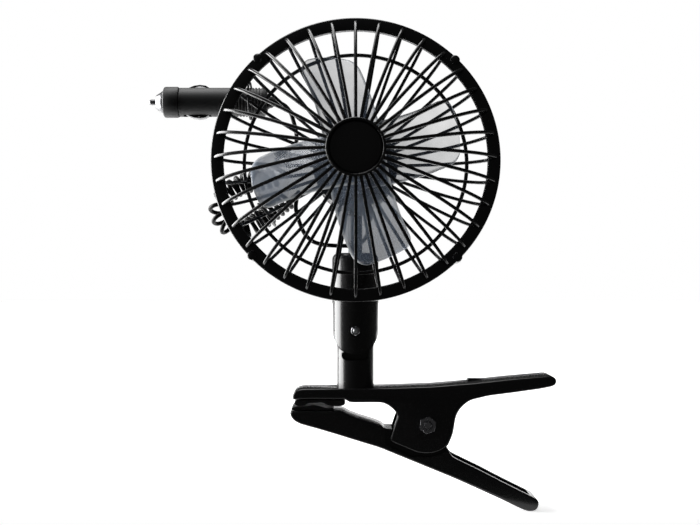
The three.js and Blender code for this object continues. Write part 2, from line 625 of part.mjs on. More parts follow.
// The stem below the pod, in the fan's frame: a collar near its end rests in the neck's top.
function stem() {
  const end = GUIDE_Z + SCREW_FIT;
  const rod = rodZ(STEM_R, end, STEM_TOP, STEM_SIDES);
  const collar = rodZ(STEM_COLLAR_R, COLLAR_SEAT + GAP, NECK_TOP - GAP, STEM_SIDES);
  const root = rodZ(STEM_ROOT_R, STEM_ROOT, STEM_TOP, STEM_SIDES);
  return cut(join(rod, collar, root), rodZ(SWIVEL_SCREW[0] + SCREW_FIT, end - 1, end + 12, 12));
}

function motorCan() {
  const front = POD_FRONT - GAP;
  const body = turned([
    [0, front - 2 - CAN_L + 1], [CAN_R, front - 2 - CAN_L + 1], [CAN_R, front - 1.2], [CAN_R - 1, front],
    [MOTOR_BOSS_R, front], [MOTOR_BOSS_R, front + 1.8], [0, front + 1.8],
  ], 24);
  const bore = rodZ(SHAFT_R + RUN, front - 8, front + 3, 12);
  const taps = [-1, 1].map((s) => {
    return rodZ(MOTOR_SCREW[0] + SCREW_FIT, front - 5, front + 1, 8, s * MOTOR_SCREW_AT, 0);
  });
  return cut(body, bore, ...taps);
}

function impeller() {
  const hub = turned([
    [SHAFT_R + 0.15, FAN_BACK + 4], [4, FAN_BACK + 4], [4, FAN_FRONT - 3], [FAN_HUB_R - 2, FAN_FRONT - 3],
    [FAN_HUB_R - 2, FAN_BACK], [FAN_HUB_R, FAN_BACK], [FAN_HUB_R, FAN_FRONT - 3], [FAN_HUB_R - 2, FAN_FRONT],
    [0, FAN_FRONT], [0, FAN_FRONT - 3], [SHAFT_R + 0.15, FAN_FRONT - 3], [SHAFT_R + 0.15, FAN_BACK + 4],
  ], 24);
  const blades = Array.from({ length: BLADES }, (_, i) => {
    return solid(placed(blade(), { rz: (BLADE_PHASE + (360 / BLADES) * i) * DEG }));
  });
  const core = rodZ(FAN_HUB_R - 1, FAN_BACK - 5, FAN_FRONT + 5, 24);
  return join(hub, ...blades.map((b) => cut(b, core)));
}

// One blade along +X, as a grid of sections from root to tip, each a thin bent plate.
function blade() {
  const [rows, columns] = [5, 4];
  const root = FAN_HUB_R - 3;
  const vertices = [];
  const spot = (u, v, lift) => {
    const round = 1 - 0.16 * Math.max(0, (u - 0.8) / 0.2) ** 2;
    const across = (v - 0.5) * BLADE_CHORD * round;
    const reach = root + (BLADE_TIP - root) * u;
    const lag = -BLADE_SWEEP * (1 - u) * DEG;
    const x = Math.sqrt(Math.max(reach ** 2 - across ** 2, 1));
    const depth = (v - 0.5) * BLADE_DEPTH * (0.78 + 0.22 * u) - 1 + 1.6 * (1 - (2 * v - 1) ** 2);
    const [c, s] = [Math.cos(lag), Math.sin(lag)];
    return [x * c - across * s, x * s + across * c, depth + lift];
  };
  for (const lift of [-BLADE_T / 2, BLADE_T / 2]) {
    for (let i = 0; i <= rows; i++) {
      for (let j = 0; j <= columns; j++) vertices.push(...spot(i / rows, j / columns, lift));
    }
  }
  const layer = (rows + 1) * (columns + 1);
  const id = (i, j, top) => top * layer + i * (columns + 1) + j;
  const faces = [];
  const quad = (a, b, c, d) => faces.push(a, b, c, a, c, d);
  for (let i = 0; i < rows; i++) {
    for (let j = 0; j < columns; j++) {
      quad(id(i, j, 1), id(i + 1, j, 1), id(i + 1, j + 1, 1), id(i, j + 1, 1));
      quad(id(i, j, 0), id(i, j + 1, 0), id(i + 1, j + 1, 0), id(i + 1, j, 0));
    }
    quad(id(i, 0, 0), id(i + 1, 0, 0), id(i + 1, 0, 1), id(i, 0, 1));
    quad(id(i, columns, 0), id(i, columns, 1), id(i + 1, columns, 1), id(i + 1, columns, 0));
  }
  for (let j = 0; j < columns; j++) {
    quad(id(0, j, 0), id(0, j, 1), id(0, j + 1, 1), id(0, j + 1, 0));
    quad(id(rows, j, 0), id(rows, j + 1, 0), id(rows, j + 1, 1), id(rows, j, 1));
  }
  const g = new THREE.BufferGeometry();
  g.setAttribute('position', new THREE.Float32BufferAttribute(vertices, 3));
  g.setIndex(faces);
  return g;
}

// ---------------------------------------------------------------- switch, in the head's own frame
function switchBody() {
  const [w, h] = [SWITCH.w / 2 - GAP, SWITCH.h / 2 - GAP];
  const flange = box(-w - 1.6, w + 1.6, -h - 1.6, h + 1.6, POD_BACK - GAP - 1.5, POD_BACK - GAP);
  const body = box(-w, w, -h, h, POD_BACK - GAP - 0.5, POD_BACK + SWITCH.deep);
  const pocket = box(-w + 1, w - 1, -h + 0.5, h - 0.5, POD_BACK - 3, POD_BACK + SWITCH.deep - 1.5);
  return cut(join(flange, body), pocket);
}

function switchRocker() {
  const w = SWITCH.w / 2 - GAP - 1 - GAP;
  const profile = [[-2.9, -2.6], [0, -1.6], [2.9, -2.6], [2.4, 2.5], [-2.4, 2.5]];
  return solid(placed(slabX(profile, -w, w), { rx: ROCKER_TILT * DEG, z: POD_BACK - 0.5 }));
}

// ---------------------------------------------------------------- cord, in the head's own frame
// The free lead from the gland to the curls: points chosen by hand.
const LEAD = [
  [9, -32.6, -50], [9, -37, -50.8], [8, -42, -53], [4.6, -46.2, -54.6], [-1, -48.6, -55], [-8, -49.2, -53],
  [-15, -49.6, -49.4], [-22, -48.6, -45], [-28.4, -45, -41], [-33, -39.4, -38], [-36, -33, -35.6],
  [-37.8, -27, -34],
];
// The middle of the curly stretch, from the lead to the tail.
const CURL_PATH = [
  [-39, -22, -33.2], [-43.4, -20.6, -33], [-53, -28, -31], [-63, -36.4, -28.6], [-72.6, -41.6, -26.8],
  [-81.6, -41, -26.2], [-88, -35, -26], [-89.4, -26.4, -26], [-83, -17.4, -26.2], [-72, -11.4, -27],
  [-60, -8.6, -29.6], [-50, -3.6, -32], [-44.6, 5, -33], [-43.8, 13, -33],
];
// The plain tail from the curls to the plug.
const TAIL = [
  [-43.8, 16.1, -33], [-43.8, 22, -33], [-43.6, 30, -32.4], [-43.8, 36, -31.4], [-45.4, 41, -30.7],
  [-48.4, 43.9, -30.4], [PLUG_END + GAP, PLUG.y, PLUG.z],
  [PLUG_END - CORD_IN + GAP, PLUG.y, PLUG.z],
];

function curveOf(points) {
  return new THREE.CatmullRomCurve3(points.map((p) => new THREE.Vector3(...p)), false, 'centripetal');
}

// The places of the curls' steps on their middle line, wider apart where it bends.
function curlPlaces(curve) {
  const fine = 400;
  const step = curve.getLength() / fine;
  const turned = [0];
  for (let i = 0; i < fine; i++) {
    const bend = curve.getTangentAt(i / fine).angleTo(curve.getTangentAt((i + 1) / fine)) / step;
    const pitch = Math.max(CURL_PITCH, (2 * CORD_R + 0.8) / Math.max(1 - bend * CURL_R, 0.3));
    turned.push(turned[i] + step / pitch);
  }
  const curls = Math.floor(turned[fine]);
  const steps = curls * CURL_STEPS;
  const places = [];
  for (let k = 0, i = 0; k <= steps; k++) {
    const want = (k / steps) * turned[fine];
    while (i < fine - 1 && turned[i + 1] < want) i++;
    places.push(Math.min(1, (i + (want - turned[i]) / (turned[i + 1] - turned[i])) / fine));
  }
  return { curls, places };
}

// One helix that winds round the curly stretch, with straight ends along its own axis.
function curlLine() {
  const curve = curveOf(CURL_PATH);
  const { curls, places } = curlPlaces(curve);
  let side = new THREE.Vector3(0, 0, 1);
  const line = places.map((u, i) => {
    const t = curve.getTangentAt(u);
    side = side.clone().addScaledVector(t, -side.dot(t)).normalize();
    const up = new THREE.Vector3().crossVectors(t, side);
    const ends = Math.min(1, i / CURL_STEPS, (places.length - 1 - i) / CURL_STEPS);
    const r = CURL_R * Math.sin(0.5 * Math.PI * ends);
    const a = (2 * Math.PI * i) / CURL_STEPS;
    const p = curve.getPointAt(u).addScaledVector(side, r * Math.cos(a)).addScaledVector(up, r * Math.sin(a));
    return p.toArray();
  });
  const end = (u, way) => curve.getPointAt(u).addScaledVector(curve.getTangentAt(u), way * 2 * CORD_R);
  return { curls, line: [end(0, -1).toArray(), ...line, end(1, 1).toArray()] };
}

// A wire tie: an oval ring round a bundle and the ribs in front of it.
function tie({ x, y, z, wide, tall, turn, oval = OVAL }) {
  const g = new THREE.TorusGeometry(1, TIE_R, 4, 16);
  const at = g.attributes.position;
  for (let i = 0; i < at.count; i++) {
    const [px, py, pz] = [at.getX(i), at.getY(i), at.getZ(i)];
    const far = Math.hypot(px, py);
    const [c, s] = [px / far, py / far].map((v) => Math.sign(v) * Math.abs(v) ** oval);
    at.setXYZ(i, c * (wide + far - 1), s * (tall + far - 1), pz);
  }
  return solid(placed(placed(g, { rx: Math.PI / 2 }), { x, y, z, rz: turn * DEG }));
}

// ---------------------------------------------------------------- plug, along X in the head's own frame
const along = (r0, r1, x0, x1, sides = 16) => rodX(r0, r1, x0, x1, sides, PLUG.y, PLUG.z);

function plugBody() {
  const front = COLLAR_BACK + GAP;
  const body = join(
    along(PLUG_R, PLUG_R, front, SHOULDER_AT),
    along(PLUG_R, PLUG_R - 1.6, SHOULDER_AT - MERGE, BOOT_SEAT),
  );
  const bores = [
    along(COLLAR_NECK_R + GAP, COLLAR_NECK_R + GAP, front - OVER, front + COLLAR_NECK),
    along(FUSE_R + RUN, FUSE_R + RUN, front - OVER, BORE_END),
    along(CORD_R + RUN, CORD_R + RUN, BORE_END - OVER, BOOT_SEAT, 10),
    along(BOOT_R + RUN, BOOT_R + RUN, BOOT_SEAT - BOOT_IN, BOOT_SEAT + OVER, 12),
  ];
  const slots = [-1, 1].map((s) => {
    const [y, half] = [PLUG.y + s * SLOT_FLOOR, CONTACT.wide / 2 + GAP];
    const [a, b] = [y, PLUG.y + s * (PLUG_R + OVER)].sort((p, q) => p - q);
    return box(CONTACT.front - 1, CONTACT.back + 1, a, b, PLUG.z - half, PLUG.z + half);
  });
  const grip = Array.from({ length: GRIP.grooves }, (_, i) => {
    const x = GRIP.first + GRIP.pitch * i;
    const inner = along(PLUG_R - GRIP.deep, PLUG_R - GRIP.deep, x - 1, x + GRIP.wide + 1);
    return cut(along(PLUG_R + 1, PLUG_R + 1, x, x + GRIP.wide), inner);
  });
  return cut(body, ...bores, ...slots, ...grip);
}

// The rubber boot that the cord comes out of, at the plug's end.
function plugBoot() {
  const body = join(
    along(BOOT_R, BOOT_R, BOOT_SEAT - BOOT_IN + GAP, BOOT_SEAT + 1, 12),
    along(BOOT_R, CORD_R + 0.9, BOOT_SEAT + 1 - MERGE, PLUG_END, 12),
  );
  return cut(body, along(CORD_R + RUN, CORD_R + RUN, BOOT_SEAT - BOOT_IN - OVER, PLUG_END + OVER, 10));
}

// The small spring between the fuse and the end of its bore.
function fuseSpring() {
  const steps = SPRING_COILS * CURL_STEPS;
  const [x0, x1] = [FUSE_BACK + SPRING_THIN + GAP, BORE_END - SPRING_THIN - GAP];
  const line = Array.from({ length: steps + 1 }, (_, i) => {
    const a = (2 * Math.PI * i) / CURL_STEPS;
    const x = x0 + ((x1 - x0) * i) / steps;
    return [x, PLUG.y + SPRING_OUT * Math.cos(a), PLUG.z + SPRING_OUT * Math.sin(a)];
  });
  return tube(line, SPRING_THIN, 4);
}

function plugCollar() {
  const [front, bevel] = [COLLAR_FRONT, COLLAR_FRONT + 1.2];
  const body = join(
    along(COLLAR_R - 0.9, COLLAR_R, front, bevel),
    along(COLLAR_R, COLLAR_R, bevel - MERGE, COLLAR_BACK),
    along(COLLAR_NECK_R, COLLAR_NECK_R, COLLAR_BACK - MERGE, COLLAR_BACK + COLLAR_NECK),
  );
  return cut(body, along(FUSE_R + RUN, FUSE_R + RUN, front - OVER, COLLAR_BACK + COLLAR_NECK + OVER));
}

// The metal nose screwed to the collar, with the pin's bore.
function plugNose() {
  const body = along(4.2, 7.6, NOSE_FRONT, COLLAR_FRONT - GAP, 20);
  return cut(body, along(PIN_R + RUN, PIN_R + RUN, NOSE_FRONT - OVER, COLLAR_FRONT + OVER));
}

// The sprung tip: a pin with a tapered end and a head that the nose holds back.
function plugPin() {
  const [bevel, seat] = [PIN_TIP + 1.2, COLLAR_FRONT + GAP];
  return join(
    along(PIN_R - 0.7, PIN_R, PIN_TIP, bevel),
    along(PIN_R, PIN_R, bevel - MERGE, seat + PIN_HEAD),
    along(FUSE_R - 0.1, FUSE_R - 0.1, seat, seat + PIN_HEAD),
  );
}

// One of the two bowed side contacts, as a bent strip.
function plugContact(s) {
  const { front, back, wide, high } = CONTACT;
  const middle = (front + back) / 2;
  const bow = [
    [front, high - 5.4], [front + 0.8, high - 2.6], [front + 5.6, high - 0.6], [middle + 1.4, high],
    [back - 2.8, high - 0.6], [back - 0.6, high - 2], [back, high - 3.6],
  ];
  const inner = bow.map(([x, h]) => [x + (x < middle ? 0.4 : -0.4), h - CONTACT_T]);
  const points = [...bow, ...inner.reverse()].map(([x, h]) => [x, PLUG.y + s * h]);
  const shape = shapeOf(s > 0 ? points.reverse() : points);
  const g = new THREE.ExtrudeGeometry(shape, { depth: wide, bevelEnabled: false });
  return solid(placed(g, { z: PLUG.z - wide / 2 }));
}

// ---------------------------------------------------------------- assembly
function buildClamp() {
  add(fan, 'upper_lever', upperLever(), 'black');
  add(fan, 'lower_lever', lowerLever(), 'black');
  add(fan, 'upper_jaw_pad', upperPad(), 'rubber');
  add(fan, 'lower_jaw_pad', lowerPad(), 'rubber');
  add(fan, 'pivot_bolt', pivotBolt(), 'steel');
  const y = -HALF - GAP;
  const hex = nut(NUT_AF, y - NUT_H, y, PIVOT_R + THREAD, PIVOT.x, PIVOT.z, NUT_TURN * DEG);
  add(fan, 'pivot_nut', hex, 'steel');
  const sleeve = rodY(SLEEVE_R, -WELL_Y + GAP, WELL_Y - GAP, 16, PIVOT.x, PIVOT.z);
  add(fan, 'spring_sleeve', cut(sleeve, rodY(PIVOT_R + RUN, -HALF, HALF, 16, PIVOT.x, PIVOT.z)), 'dull');
  const spring = springLine();
  add(fan, 'clamp_spring', tube(spring.line, SPRING_WIRE / 2, 5), 'steel');
  const gap = leastGap(spring.turns, SPRING_WIRE / 2, CURL_STEPS / 2);
  console.log(`clamp spring: least gap between turns ${gap.toFixed(2)} mm`);
}

function buildNeck() {
  add(fan, 'neck_body', neckBody(), 'black');
  add(fan, 'tilt_bolt', tiltBolt(), 'steel');
  const y = -NECK_R + TILT_NUT_SEAT.deep - GAP;
  add(fan, 'tilt_nut', nut(TILT_NUT_AF, y - TILT_NUT_H, y, TILT_R + THREAD, 0, TILT_Z, 0), 'steel');
  const disc = rodY(TILT_WASHER_R, -LAP / 2 + GAP, LAP / 2 - GAP, 20, 0, TILT_Z);
  add(fan, 'tilt_washer', cut(disc, rodY(TILT_R + RUN, -OVER, OVER, 16, 0, TILT_Z)), 'dull');
  const top = GUIDE_Z - GAP;
  const washer = rodZ(WASHER_R, top - WASHER_T, top, 20);
  add(fan, 'swivel_washer', cut(washer, rodZ(SWIVEL_SCREW[0] + RUN, top - 3, top + 1, 16)), 'steel');
  const seat = top - WASHER_T - GAP;
  add(fan, 'swivel_screw', screwZ(0, 0, seat, GUIDE_Z + 10, SWIVEL_SCREW), 'steel');
}

function buildHead() {
  add(head, 'front_cage', frontCage(), 'black');
  add(head, 'rear_cage', rearCage(), 'black');
  add(head, 'hub_cap', rodZ(CAP_R, FRONT_H - HUB_T + GAP, FRONT_H - CAP_LOW, 24), 'black');
  add(head, 'impeller', impeller(), 'smoke');
  add(head, 'pod_housing', podHousing(), 'black');
  BOSSES.forEach((a, i) => {
    const [x, y] = [BOSS_AT * Math.cos(a * DEG), BOSS_AT * Math.sin(a * DEG)];
    const back = -RIM_T - GAP - REAR_RIM_T - GAP;
    add(head, `cage_screw_${i + 1}`, screwZ(x, y, back, -0.9, CAGE_SCREW), 'steel');
  });
}

function buildMotor() {
  add(head, 'motor_can', motorCan(), 'steel');
  const front = POD_FRONT - GAP;
  const back = front - 1 - CAN_L - GAP;
  const { at, wide, thick, long } = TERMINAL;
  const strip = (s, room, z0, z1) => {
    const [x, w, t] = [s * at, wide / 2 + room, thick / 2 + Math.min(room, 0.5)];
    return box(x - w, x + w, -t, t, z0, z1);
  };
  const slots = [-1, 1].map((s) => strip(s, 0.6, back - END_CAP_T - OVER, back + OVER));
  add(head, 'motor_end_cap', cut(rodZ(CAN_R - 0.5, back - END_CAP_T, back, 20), ...slots), 'dull');
  [-1, 1].forEach((s) => {
    add(head, `motor_terminal_${s < 0 ? 1 : 2}`, strip(s, 0, back - long, back - 0.1), 'brass');
  });
  add(head, 'motor_shaft', rodZ(SHAFT_R, front - 7.6, FAN_FRONT - 3 - GAP, 20), 'steel');
  [-1, 1].forEach((s) => {
    const n = s < 0 ? 1 : 2;
    const seat = -REAR_H + PLATE_T + GAP;
    const motorScrew = screwZ(s * MOTOR_SCREW_AT, 0, seat, front - 4.6, MOTOR_SCREW);
    const podScrew = screwZ(0, s * POD_SCREW_AT, seat, POD_FRONT - POD_SCREW_IN, POD_SCREW);
    add(head, `motor_screw_${n}`, motorScrew, 'steel');
    add(head, `pod_screw_${n}`, podScrew, 'steel');
  });
  add(head, 'switch_body', switchBody(), 'dull');
  add(head, 'switch_rocker', switchRocker(), 'dull');
}

function buildCord() {
  const [seat, collarEnd] = [-POD_R - 0.2, -POD_R - 2.4];
  const collar = rodY(GLAND_R + 1.5, collarEnd, seat, 14, GLAND.x, GLAND.z);
  const neck = rodY(GLAND_R, seat - 0.1, -POD_R + 6, 14, GLAND.x, GLAND.z);
  const boot = rodY(CORD_R + 1.3, GLAND_END, collarEnd + 0.1, 12, GLAND.x, GLAND.z);
  const way = rodY(CORD_R + RUN, GLAND_END - OVER, -POD_R + 8, 8, GLAND.x, GLAND.z);
  add(head, 'cord_gland', cut(join(collar, neck, boot), way), 'rubber');
  add(head, 'cord_lead', solid(cord(LEAD, LEAD_STEPS)), 'rubber');
  const { curls, line } = curlLine();
  add(head, 'cord_curls', tube(line, CORD_R, CURL_SIDES), 'rubber');
  const gap = leastGap(line, CORD_R, CURL_STEPS - 1);
  console.log(`cord: ${curls} curls, least gap between them ${gap.toFixed(2)} mm`);
  add(head, 'cord_tail', solid(cord(TAIL, TAIL_STEPS)), 'rubber');
  Object.entries(TIES).forEach(([name, shape]) => add(head, name, tie(shape), 'dull'));
}

function buildPlug() {
  add(head, 'plug_body', plugBody(), 'dull');
  add(head, 'plug_collar', plugCollar(), 'dull');
  add(head, 'plug_nose', plugNose(), 'steel');
  add(head, 'plug_tip_pin', plugPin(), 'brass');
  add(head, 'plug_contact_upper', plugContact(1), 'steel');
  add(head, 'plug_contact_lower', plugContact(-1), 'steel');
  add(head, 'plug_boot', plugBoot(), 'rubber');
  const fuse = along(FUSE_R, FUSE_R, COLLAR_FRONT + GAP + PIN_HEAD + GAP, FUSE_BACK);
  add(head, 'plug_fuse', fuse, 'clear');
  add(head, 'plug_spring', fuseSpring(), 'steel');
}

buildClamp();
buildNeck();
buildHead();
buildMotor();
buildCord();
buildPlug();

export default fan;
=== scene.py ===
"""Clip fan: the looks of a small caged fan that stands on a spring clamp.

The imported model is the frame. Sizes in the classes are millimetres; every finished
mesh is in metres in the frame's own axes: +Z up, the fan faces -Y.
"""

import functools
import logging
import math
from dataclasses import dataclass
from enum import Enum
from typing import Iterable, Sequence

import bmesh
import bpy
from mathutils import Matrix, Vector


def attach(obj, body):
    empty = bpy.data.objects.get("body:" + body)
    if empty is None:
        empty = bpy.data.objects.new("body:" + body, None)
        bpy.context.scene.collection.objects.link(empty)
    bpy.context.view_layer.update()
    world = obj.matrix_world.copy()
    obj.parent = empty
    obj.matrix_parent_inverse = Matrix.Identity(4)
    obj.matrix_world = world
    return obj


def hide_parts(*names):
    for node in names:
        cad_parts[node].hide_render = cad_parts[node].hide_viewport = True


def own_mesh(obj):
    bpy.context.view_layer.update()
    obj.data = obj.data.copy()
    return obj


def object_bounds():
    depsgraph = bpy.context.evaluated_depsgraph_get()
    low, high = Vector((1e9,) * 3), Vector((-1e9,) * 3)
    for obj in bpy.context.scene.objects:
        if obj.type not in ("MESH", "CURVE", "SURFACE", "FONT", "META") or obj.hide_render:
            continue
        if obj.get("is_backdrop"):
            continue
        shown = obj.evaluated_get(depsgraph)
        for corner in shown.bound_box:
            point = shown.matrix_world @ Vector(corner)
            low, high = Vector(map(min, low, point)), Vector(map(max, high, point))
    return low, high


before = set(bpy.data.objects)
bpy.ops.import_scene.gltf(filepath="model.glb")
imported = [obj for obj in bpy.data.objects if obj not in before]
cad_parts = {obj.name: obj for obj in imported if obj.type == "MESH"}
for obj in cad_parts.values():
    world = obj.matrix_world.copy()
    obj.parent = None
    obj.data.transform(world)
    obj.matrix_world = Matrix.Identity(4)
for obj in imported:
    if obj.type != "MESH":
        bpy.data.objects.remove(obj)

log = logging.getLogger("clip_fan")

MM = 0.001
Point = tuple[float, float, float]
Profile = Sequence[tuple[float, float]]
Colour = tuple[float, float, float, float]
ORIGIN: Point = (0.0, 0.0, 0.0)


class Body(Enum):
    """The moving groups of the fan."""

    CLAMP = "clamp"
    LOWER = "lower"
    NECK = "neck"
    HEAD = "head"
    ROTOR = "rotor"
    ROCKER = "rocker"
    PLUG_PIN = "plug_pin"
    CONTACT_UPPER = "contact_upper"
    CONTACT_LOWER = "contact_lower"


class Axis(Enum):
    """The way a turned piece's own Z axis points in its frame."""

    Z = "Z"
    Y = "Y"
    X = "X"

    def turn(self) -> Matrix:
        """Returns the rotation that lays Z along this axis."""
        if self is Axis.X:
            return Matrix.Rotation(math.pi / 2, 4, "Y")
        if self is Axis.Y:
            return Matrix.Rotation(-math.pi / 2, 4, "X")
        return Matrix.Identity(4)


def stand(origin: Point = ORIGIN, lean: float = 0.0) -> Matrix:
    """Places a sub-assembly's own millimetre frame in the fan's frame in metres.

    Args:
        origin: where the sub-assembly's origin is, in millimetres.
        lean: its turn about X, in degrees.

    Returns:
        The matrix from millimetres there to metres here.
    """
    turn = Matrix.Rotation(math.radians(lean), 4, "X")
    return Matrix.Translation(Vector(origin) * MM) @ turn @ Matrix.Scale(MM, 4)


FAN = stand()
HEAD = stand(origin=(0.0, -40.0, 160.0), lean=82.0)


def linked(name: str, data: bpy.types.ID) -> bpy.types.Object:
    """Makes an object of this data and links it to the scene."""
    obj = bpy.data.objects.new(name, data)
    bpy.context.scene.collection.objects.link(obj)
    return obj


def evaluated(obj: bpy.types.Object) -> bpy.types.Mesh:
    """Returns the mesh that an object's modifiers or its curve make."""
    graph = bpy.context.evaluated_depsgraph_get()
    return bpy.data.meshes.new_from_object(obj.evaluated_get(graph))


def polar(radius: float, degrees: float) -> tuple[float, float]:
    """Returns the point at a radius and an angle round the origin."""
    a = math.radians(degrees)
    return (radius * math.cos(a), radius * math.sin(a))


# ------------------------------------------------------------------ node graphs
class Value:
    """A socket that takes part in Python expressions by adding Math nodes."""

    def __init__(self, graph: "Graph", socket: bpy.types.NodeSocket) -> None:
        """Keeps the graph and the output socket that holds the number."""
        self.graph = graph
        self.socket = socket

    def _math(self, operation: str, first: object, second: object = 0.0) -> "Value":
        """Adds one Math node.

        Args:
            operation: the Math node's operation.
            first: its first number or Value.
            second: its second number or Value.

        Returns:
            The result as a Value.
        """
        made = self.graph.node("ShaderNodeMath", {"operation": operation}, {0: first, 1: second})
        return Value(self.graph, made.outputs[0])

    def __add__(self, other: object) -> "Value":
        """Returns self + other."""
        return self._math("ADD", self, other)

    __radd__ = __add__

    def __sub__(self, other: object) -> "Value":
        """Returns self - other."""
        return self._math("SUBTRACT", self, other)

    def __rsub__(self, other: object) -> "Value":
        """Returns other - self."""
        return self._math("SUBTRACT", other, self)

    def __mul__(self, other: object) -> "Value":
        """Returns self * other."""
        return self._math("MULTIPLY", self, other)

    __rmul__ = __mul__

    def __truediv__(self, other: object) -> "Value":
        """Returns self / other."""
        return self._math("DIVIDE", self, other)

    def __pow__(self, other: object) -> "Value":
        """Returns self to the power of other."""
        return self._math("POWER", self, other)

    def sine(self) -> "Value":
        """Returns the sine of this angle."""
        return self._math("SINE", self)


class Graph:
    """The nodes of one tree, all made by one method."""

    def __init__(self, tree: bpy.types.NodeTree) -> None:
        """Starts with the tree emptied."""
        self.tree = tree
        self.tree.nodes.clear()

    def node(self, kind: str, settings: dict | None = None, sockets: dict | None = None) -> bpy.types.Node:
        """Adds one node.

        Args:
            kind: the node's type.
            settings: its properties, set before its inputs.
            sockets: a value, Value or socket for each input, by name or number.

        Returns:
            The node.
        """
        made = self.tree.nodes.new(kind)
        for key, setting in (settings or {}).items():
            setattr(made, key, setting)
        for key, given in (sockets or {}).items():
            source = given.socket if isinstance(given, Value) else given
            if isinstance(source, bpy.types.NodeSocket):
                self.tree.links.new(source, made.inputs[key])
            else:
                made.inputs[key].default_value = source
        return made

    def value(self, kind: str, settings: dict | None = None, sockets: dict | None = None,
              output: str | int = 0) -> Value:
        """Adds a node and wraps one output.

        Args:
            kind: the node's type.
            settings: its properties.
            sockets: its inputs.
            output: the output's name or number.

        Returns:
            That output as a Value.
        """
        return Value(self, self.node(kind, settings, sockets).outputs[output])


class Shader(Graph):
    """One material's node graph."""

    def __init__(self, name: str) -> None:
        """Makes the material and empties its tree.

        Args:
            name: the material's name.
        """
        self.material = bpy.data.materials.new(name)
        self.material.use_nodes = True
        super().__init__(self.material.node_tree)
        self.place = self.node("ShaderNodeTexCoord").outputs["Object"]

    def noise(self, scale: float, detail: float = 3.0, rough: float = 0.5,
              stretch: Point = (1.0, 1.0, 1.0)) -> Value:
        """Adds fractal noise on Object coordinates.

        Args:
            scale: features per metre.
            detail: octaves.
            rough: weight of the finer octaves.
            stretch: scale of the coordinates on each axis.

        Returns:
            The noise, about 0.5 on average.
        """
        place = self.node("ShaderNodeMapping", {}, {"Vector": self.place, "Scale": stretch})
        sockets = {"Vector": place.outputs[0], "Scale": scale, "Detail": detail, "Roughness": rough}
        return self.value("ShaderNodeTexNoise", {}, sockets)

    def blend(self, factor: Value, first: object, second: object) -> bpy.types.NodeSocket:
        """Mixes two colours.

        Args:
            factor: 0 for the first and 1 for the second.
            first: a colour or a colour socket.
            second: a colour or a colour socket.

        Returns:
            The mixed colour's socket.
        """
        mix = self.node("ShaderNodeMix", {"data_type": "RGBA"}, {0: factor, 6: first, 7: second})
        return mix.outputs[2]

    def relief(self, height: Value, strength: float, distance: float) -> bpy.types.NodeSocket:
        """Adds a Bump node.

        Args:
            height: the relief.
            strength: how strongly it shows.
            distance: its real depth, in metres.

        Returns:
            The normal's socket.
        """
        sockets = {"Height": height, "Strength": strength, "Distance": distance}
        return self.node("ShaderNodeBump", {}, sockets).outputs["Normal"]

    def close(self, sockets: dict) -> bpy.types.Material:
        """Ends the graph in a Principled surface.

        Args:
            sockets: the surface's inputs.

        Returns:
            The material.
        """
        surface = self.node("ShaderNodeBsdfPrincipled", {}, sockets)
        self.node("ShaderNodeOutputMaterial", {}, {"Surface": surface.outputs[0]})
        return self.material


def grey(level: float, blue: float = 0.0) -> Colour:
    """Returns a grey with a little more blue."""
    return (level, level * (1 + blue * 0.4), level * (1 + blue), 1.0)


@dataclass(frozen=True)
class MouldedPlastic:
    """Near-black moulded plastic: a fine skin, faint flow marks and dust."""

    name: str
    tone: float = 0.010
    gloss: float = 0.30
    grain: float = 0.15

    def material(self) -> bpy.types.Material:
        """Returns the finish as a material."""
        s = Shader(self.name)
        flow = s.noise(38.0, 4.0, 0.55, (1.0, 1.0, 0.35))
        skin = s.noise(1500.0, 2.0, 0.5)
        dust = s.noise(420.0, 5.0, 0.7)
        colour = s.blend(dust * flow, grey(self.tone * 0.8, 0.06), grey(self.tone * 1.9, 0.06))
        return s.close({
            "Base Color": colour,
            "Roughness": flow * 0.10 + (self.gloss - 0.05) + skin * 0.04,
            "Normal": s.relief(skin, self.grain, 0.00008),
        })


@dataclass(frozen=True)
class SmokyPlastic:
    """Clear smoky plastic of the blades: cloudy, with a painted highlight on its edges and painted shade that
    darkens it towards the lower left.
    """

    name: str
    tint: Colour = (0.10, 0.13, 0.18, 1.0)
    milk: Colour = (0.42, 0.48, 0.57, 1.0)
    # The pale colour on the blades' edges is a painted highlight.
    rim: Colour = (0.90, 0.93, 0.96, 1.0)
    # The next two set the painted shade that darkens the blades towards the lower left: its strength, then
    # its level at the fan's middle.
    painted_shade_weight: float = 0.5
    middle: float = 0.42

    def material(self) -> bpy.types.Material:
        """Returns the finish as a material."""
        s = Shader(self.name)
        cloud = s.noise(26.0, 3.0, 0.6)
        across = s.node("ShaderNodeSeparateXYZ", {}, {0: s.place})
        x, z = (Value(s, across.outputs[i]) for i in (0, 2))
        # Painted shade: the blades grow more opaque, so darker, towards the lower left and the bottom, and
        # clearer towards the upper right.
        smoke = self.middle - x * 5.4 - (z - 0.16) * 7.2
        edge = Value(s, s.node("ShaderNodeAttribute", {"attribute_name": "edge"}).outputs["Fac"])
        body = s.blend((cloud - 0.32) * 2.2, self.tint, self.milk)
        skin = s.noise(900.0, 2.0, 0.5)
        return s.close({
            # The blades' edges get the pale painted highlight, nearly opaque.
            "Base Color": s.blend(edge, body, self.rim),
            "Roughness": cloud * 0.18 + 0.12,
            "Alpha": (1 - edge) * (cloud * 0.4 + smoke * self.painted_shade_weight) + edge * 0.8,
            "Normal": s.relief(skin, 0.03, 0.00002),
        })


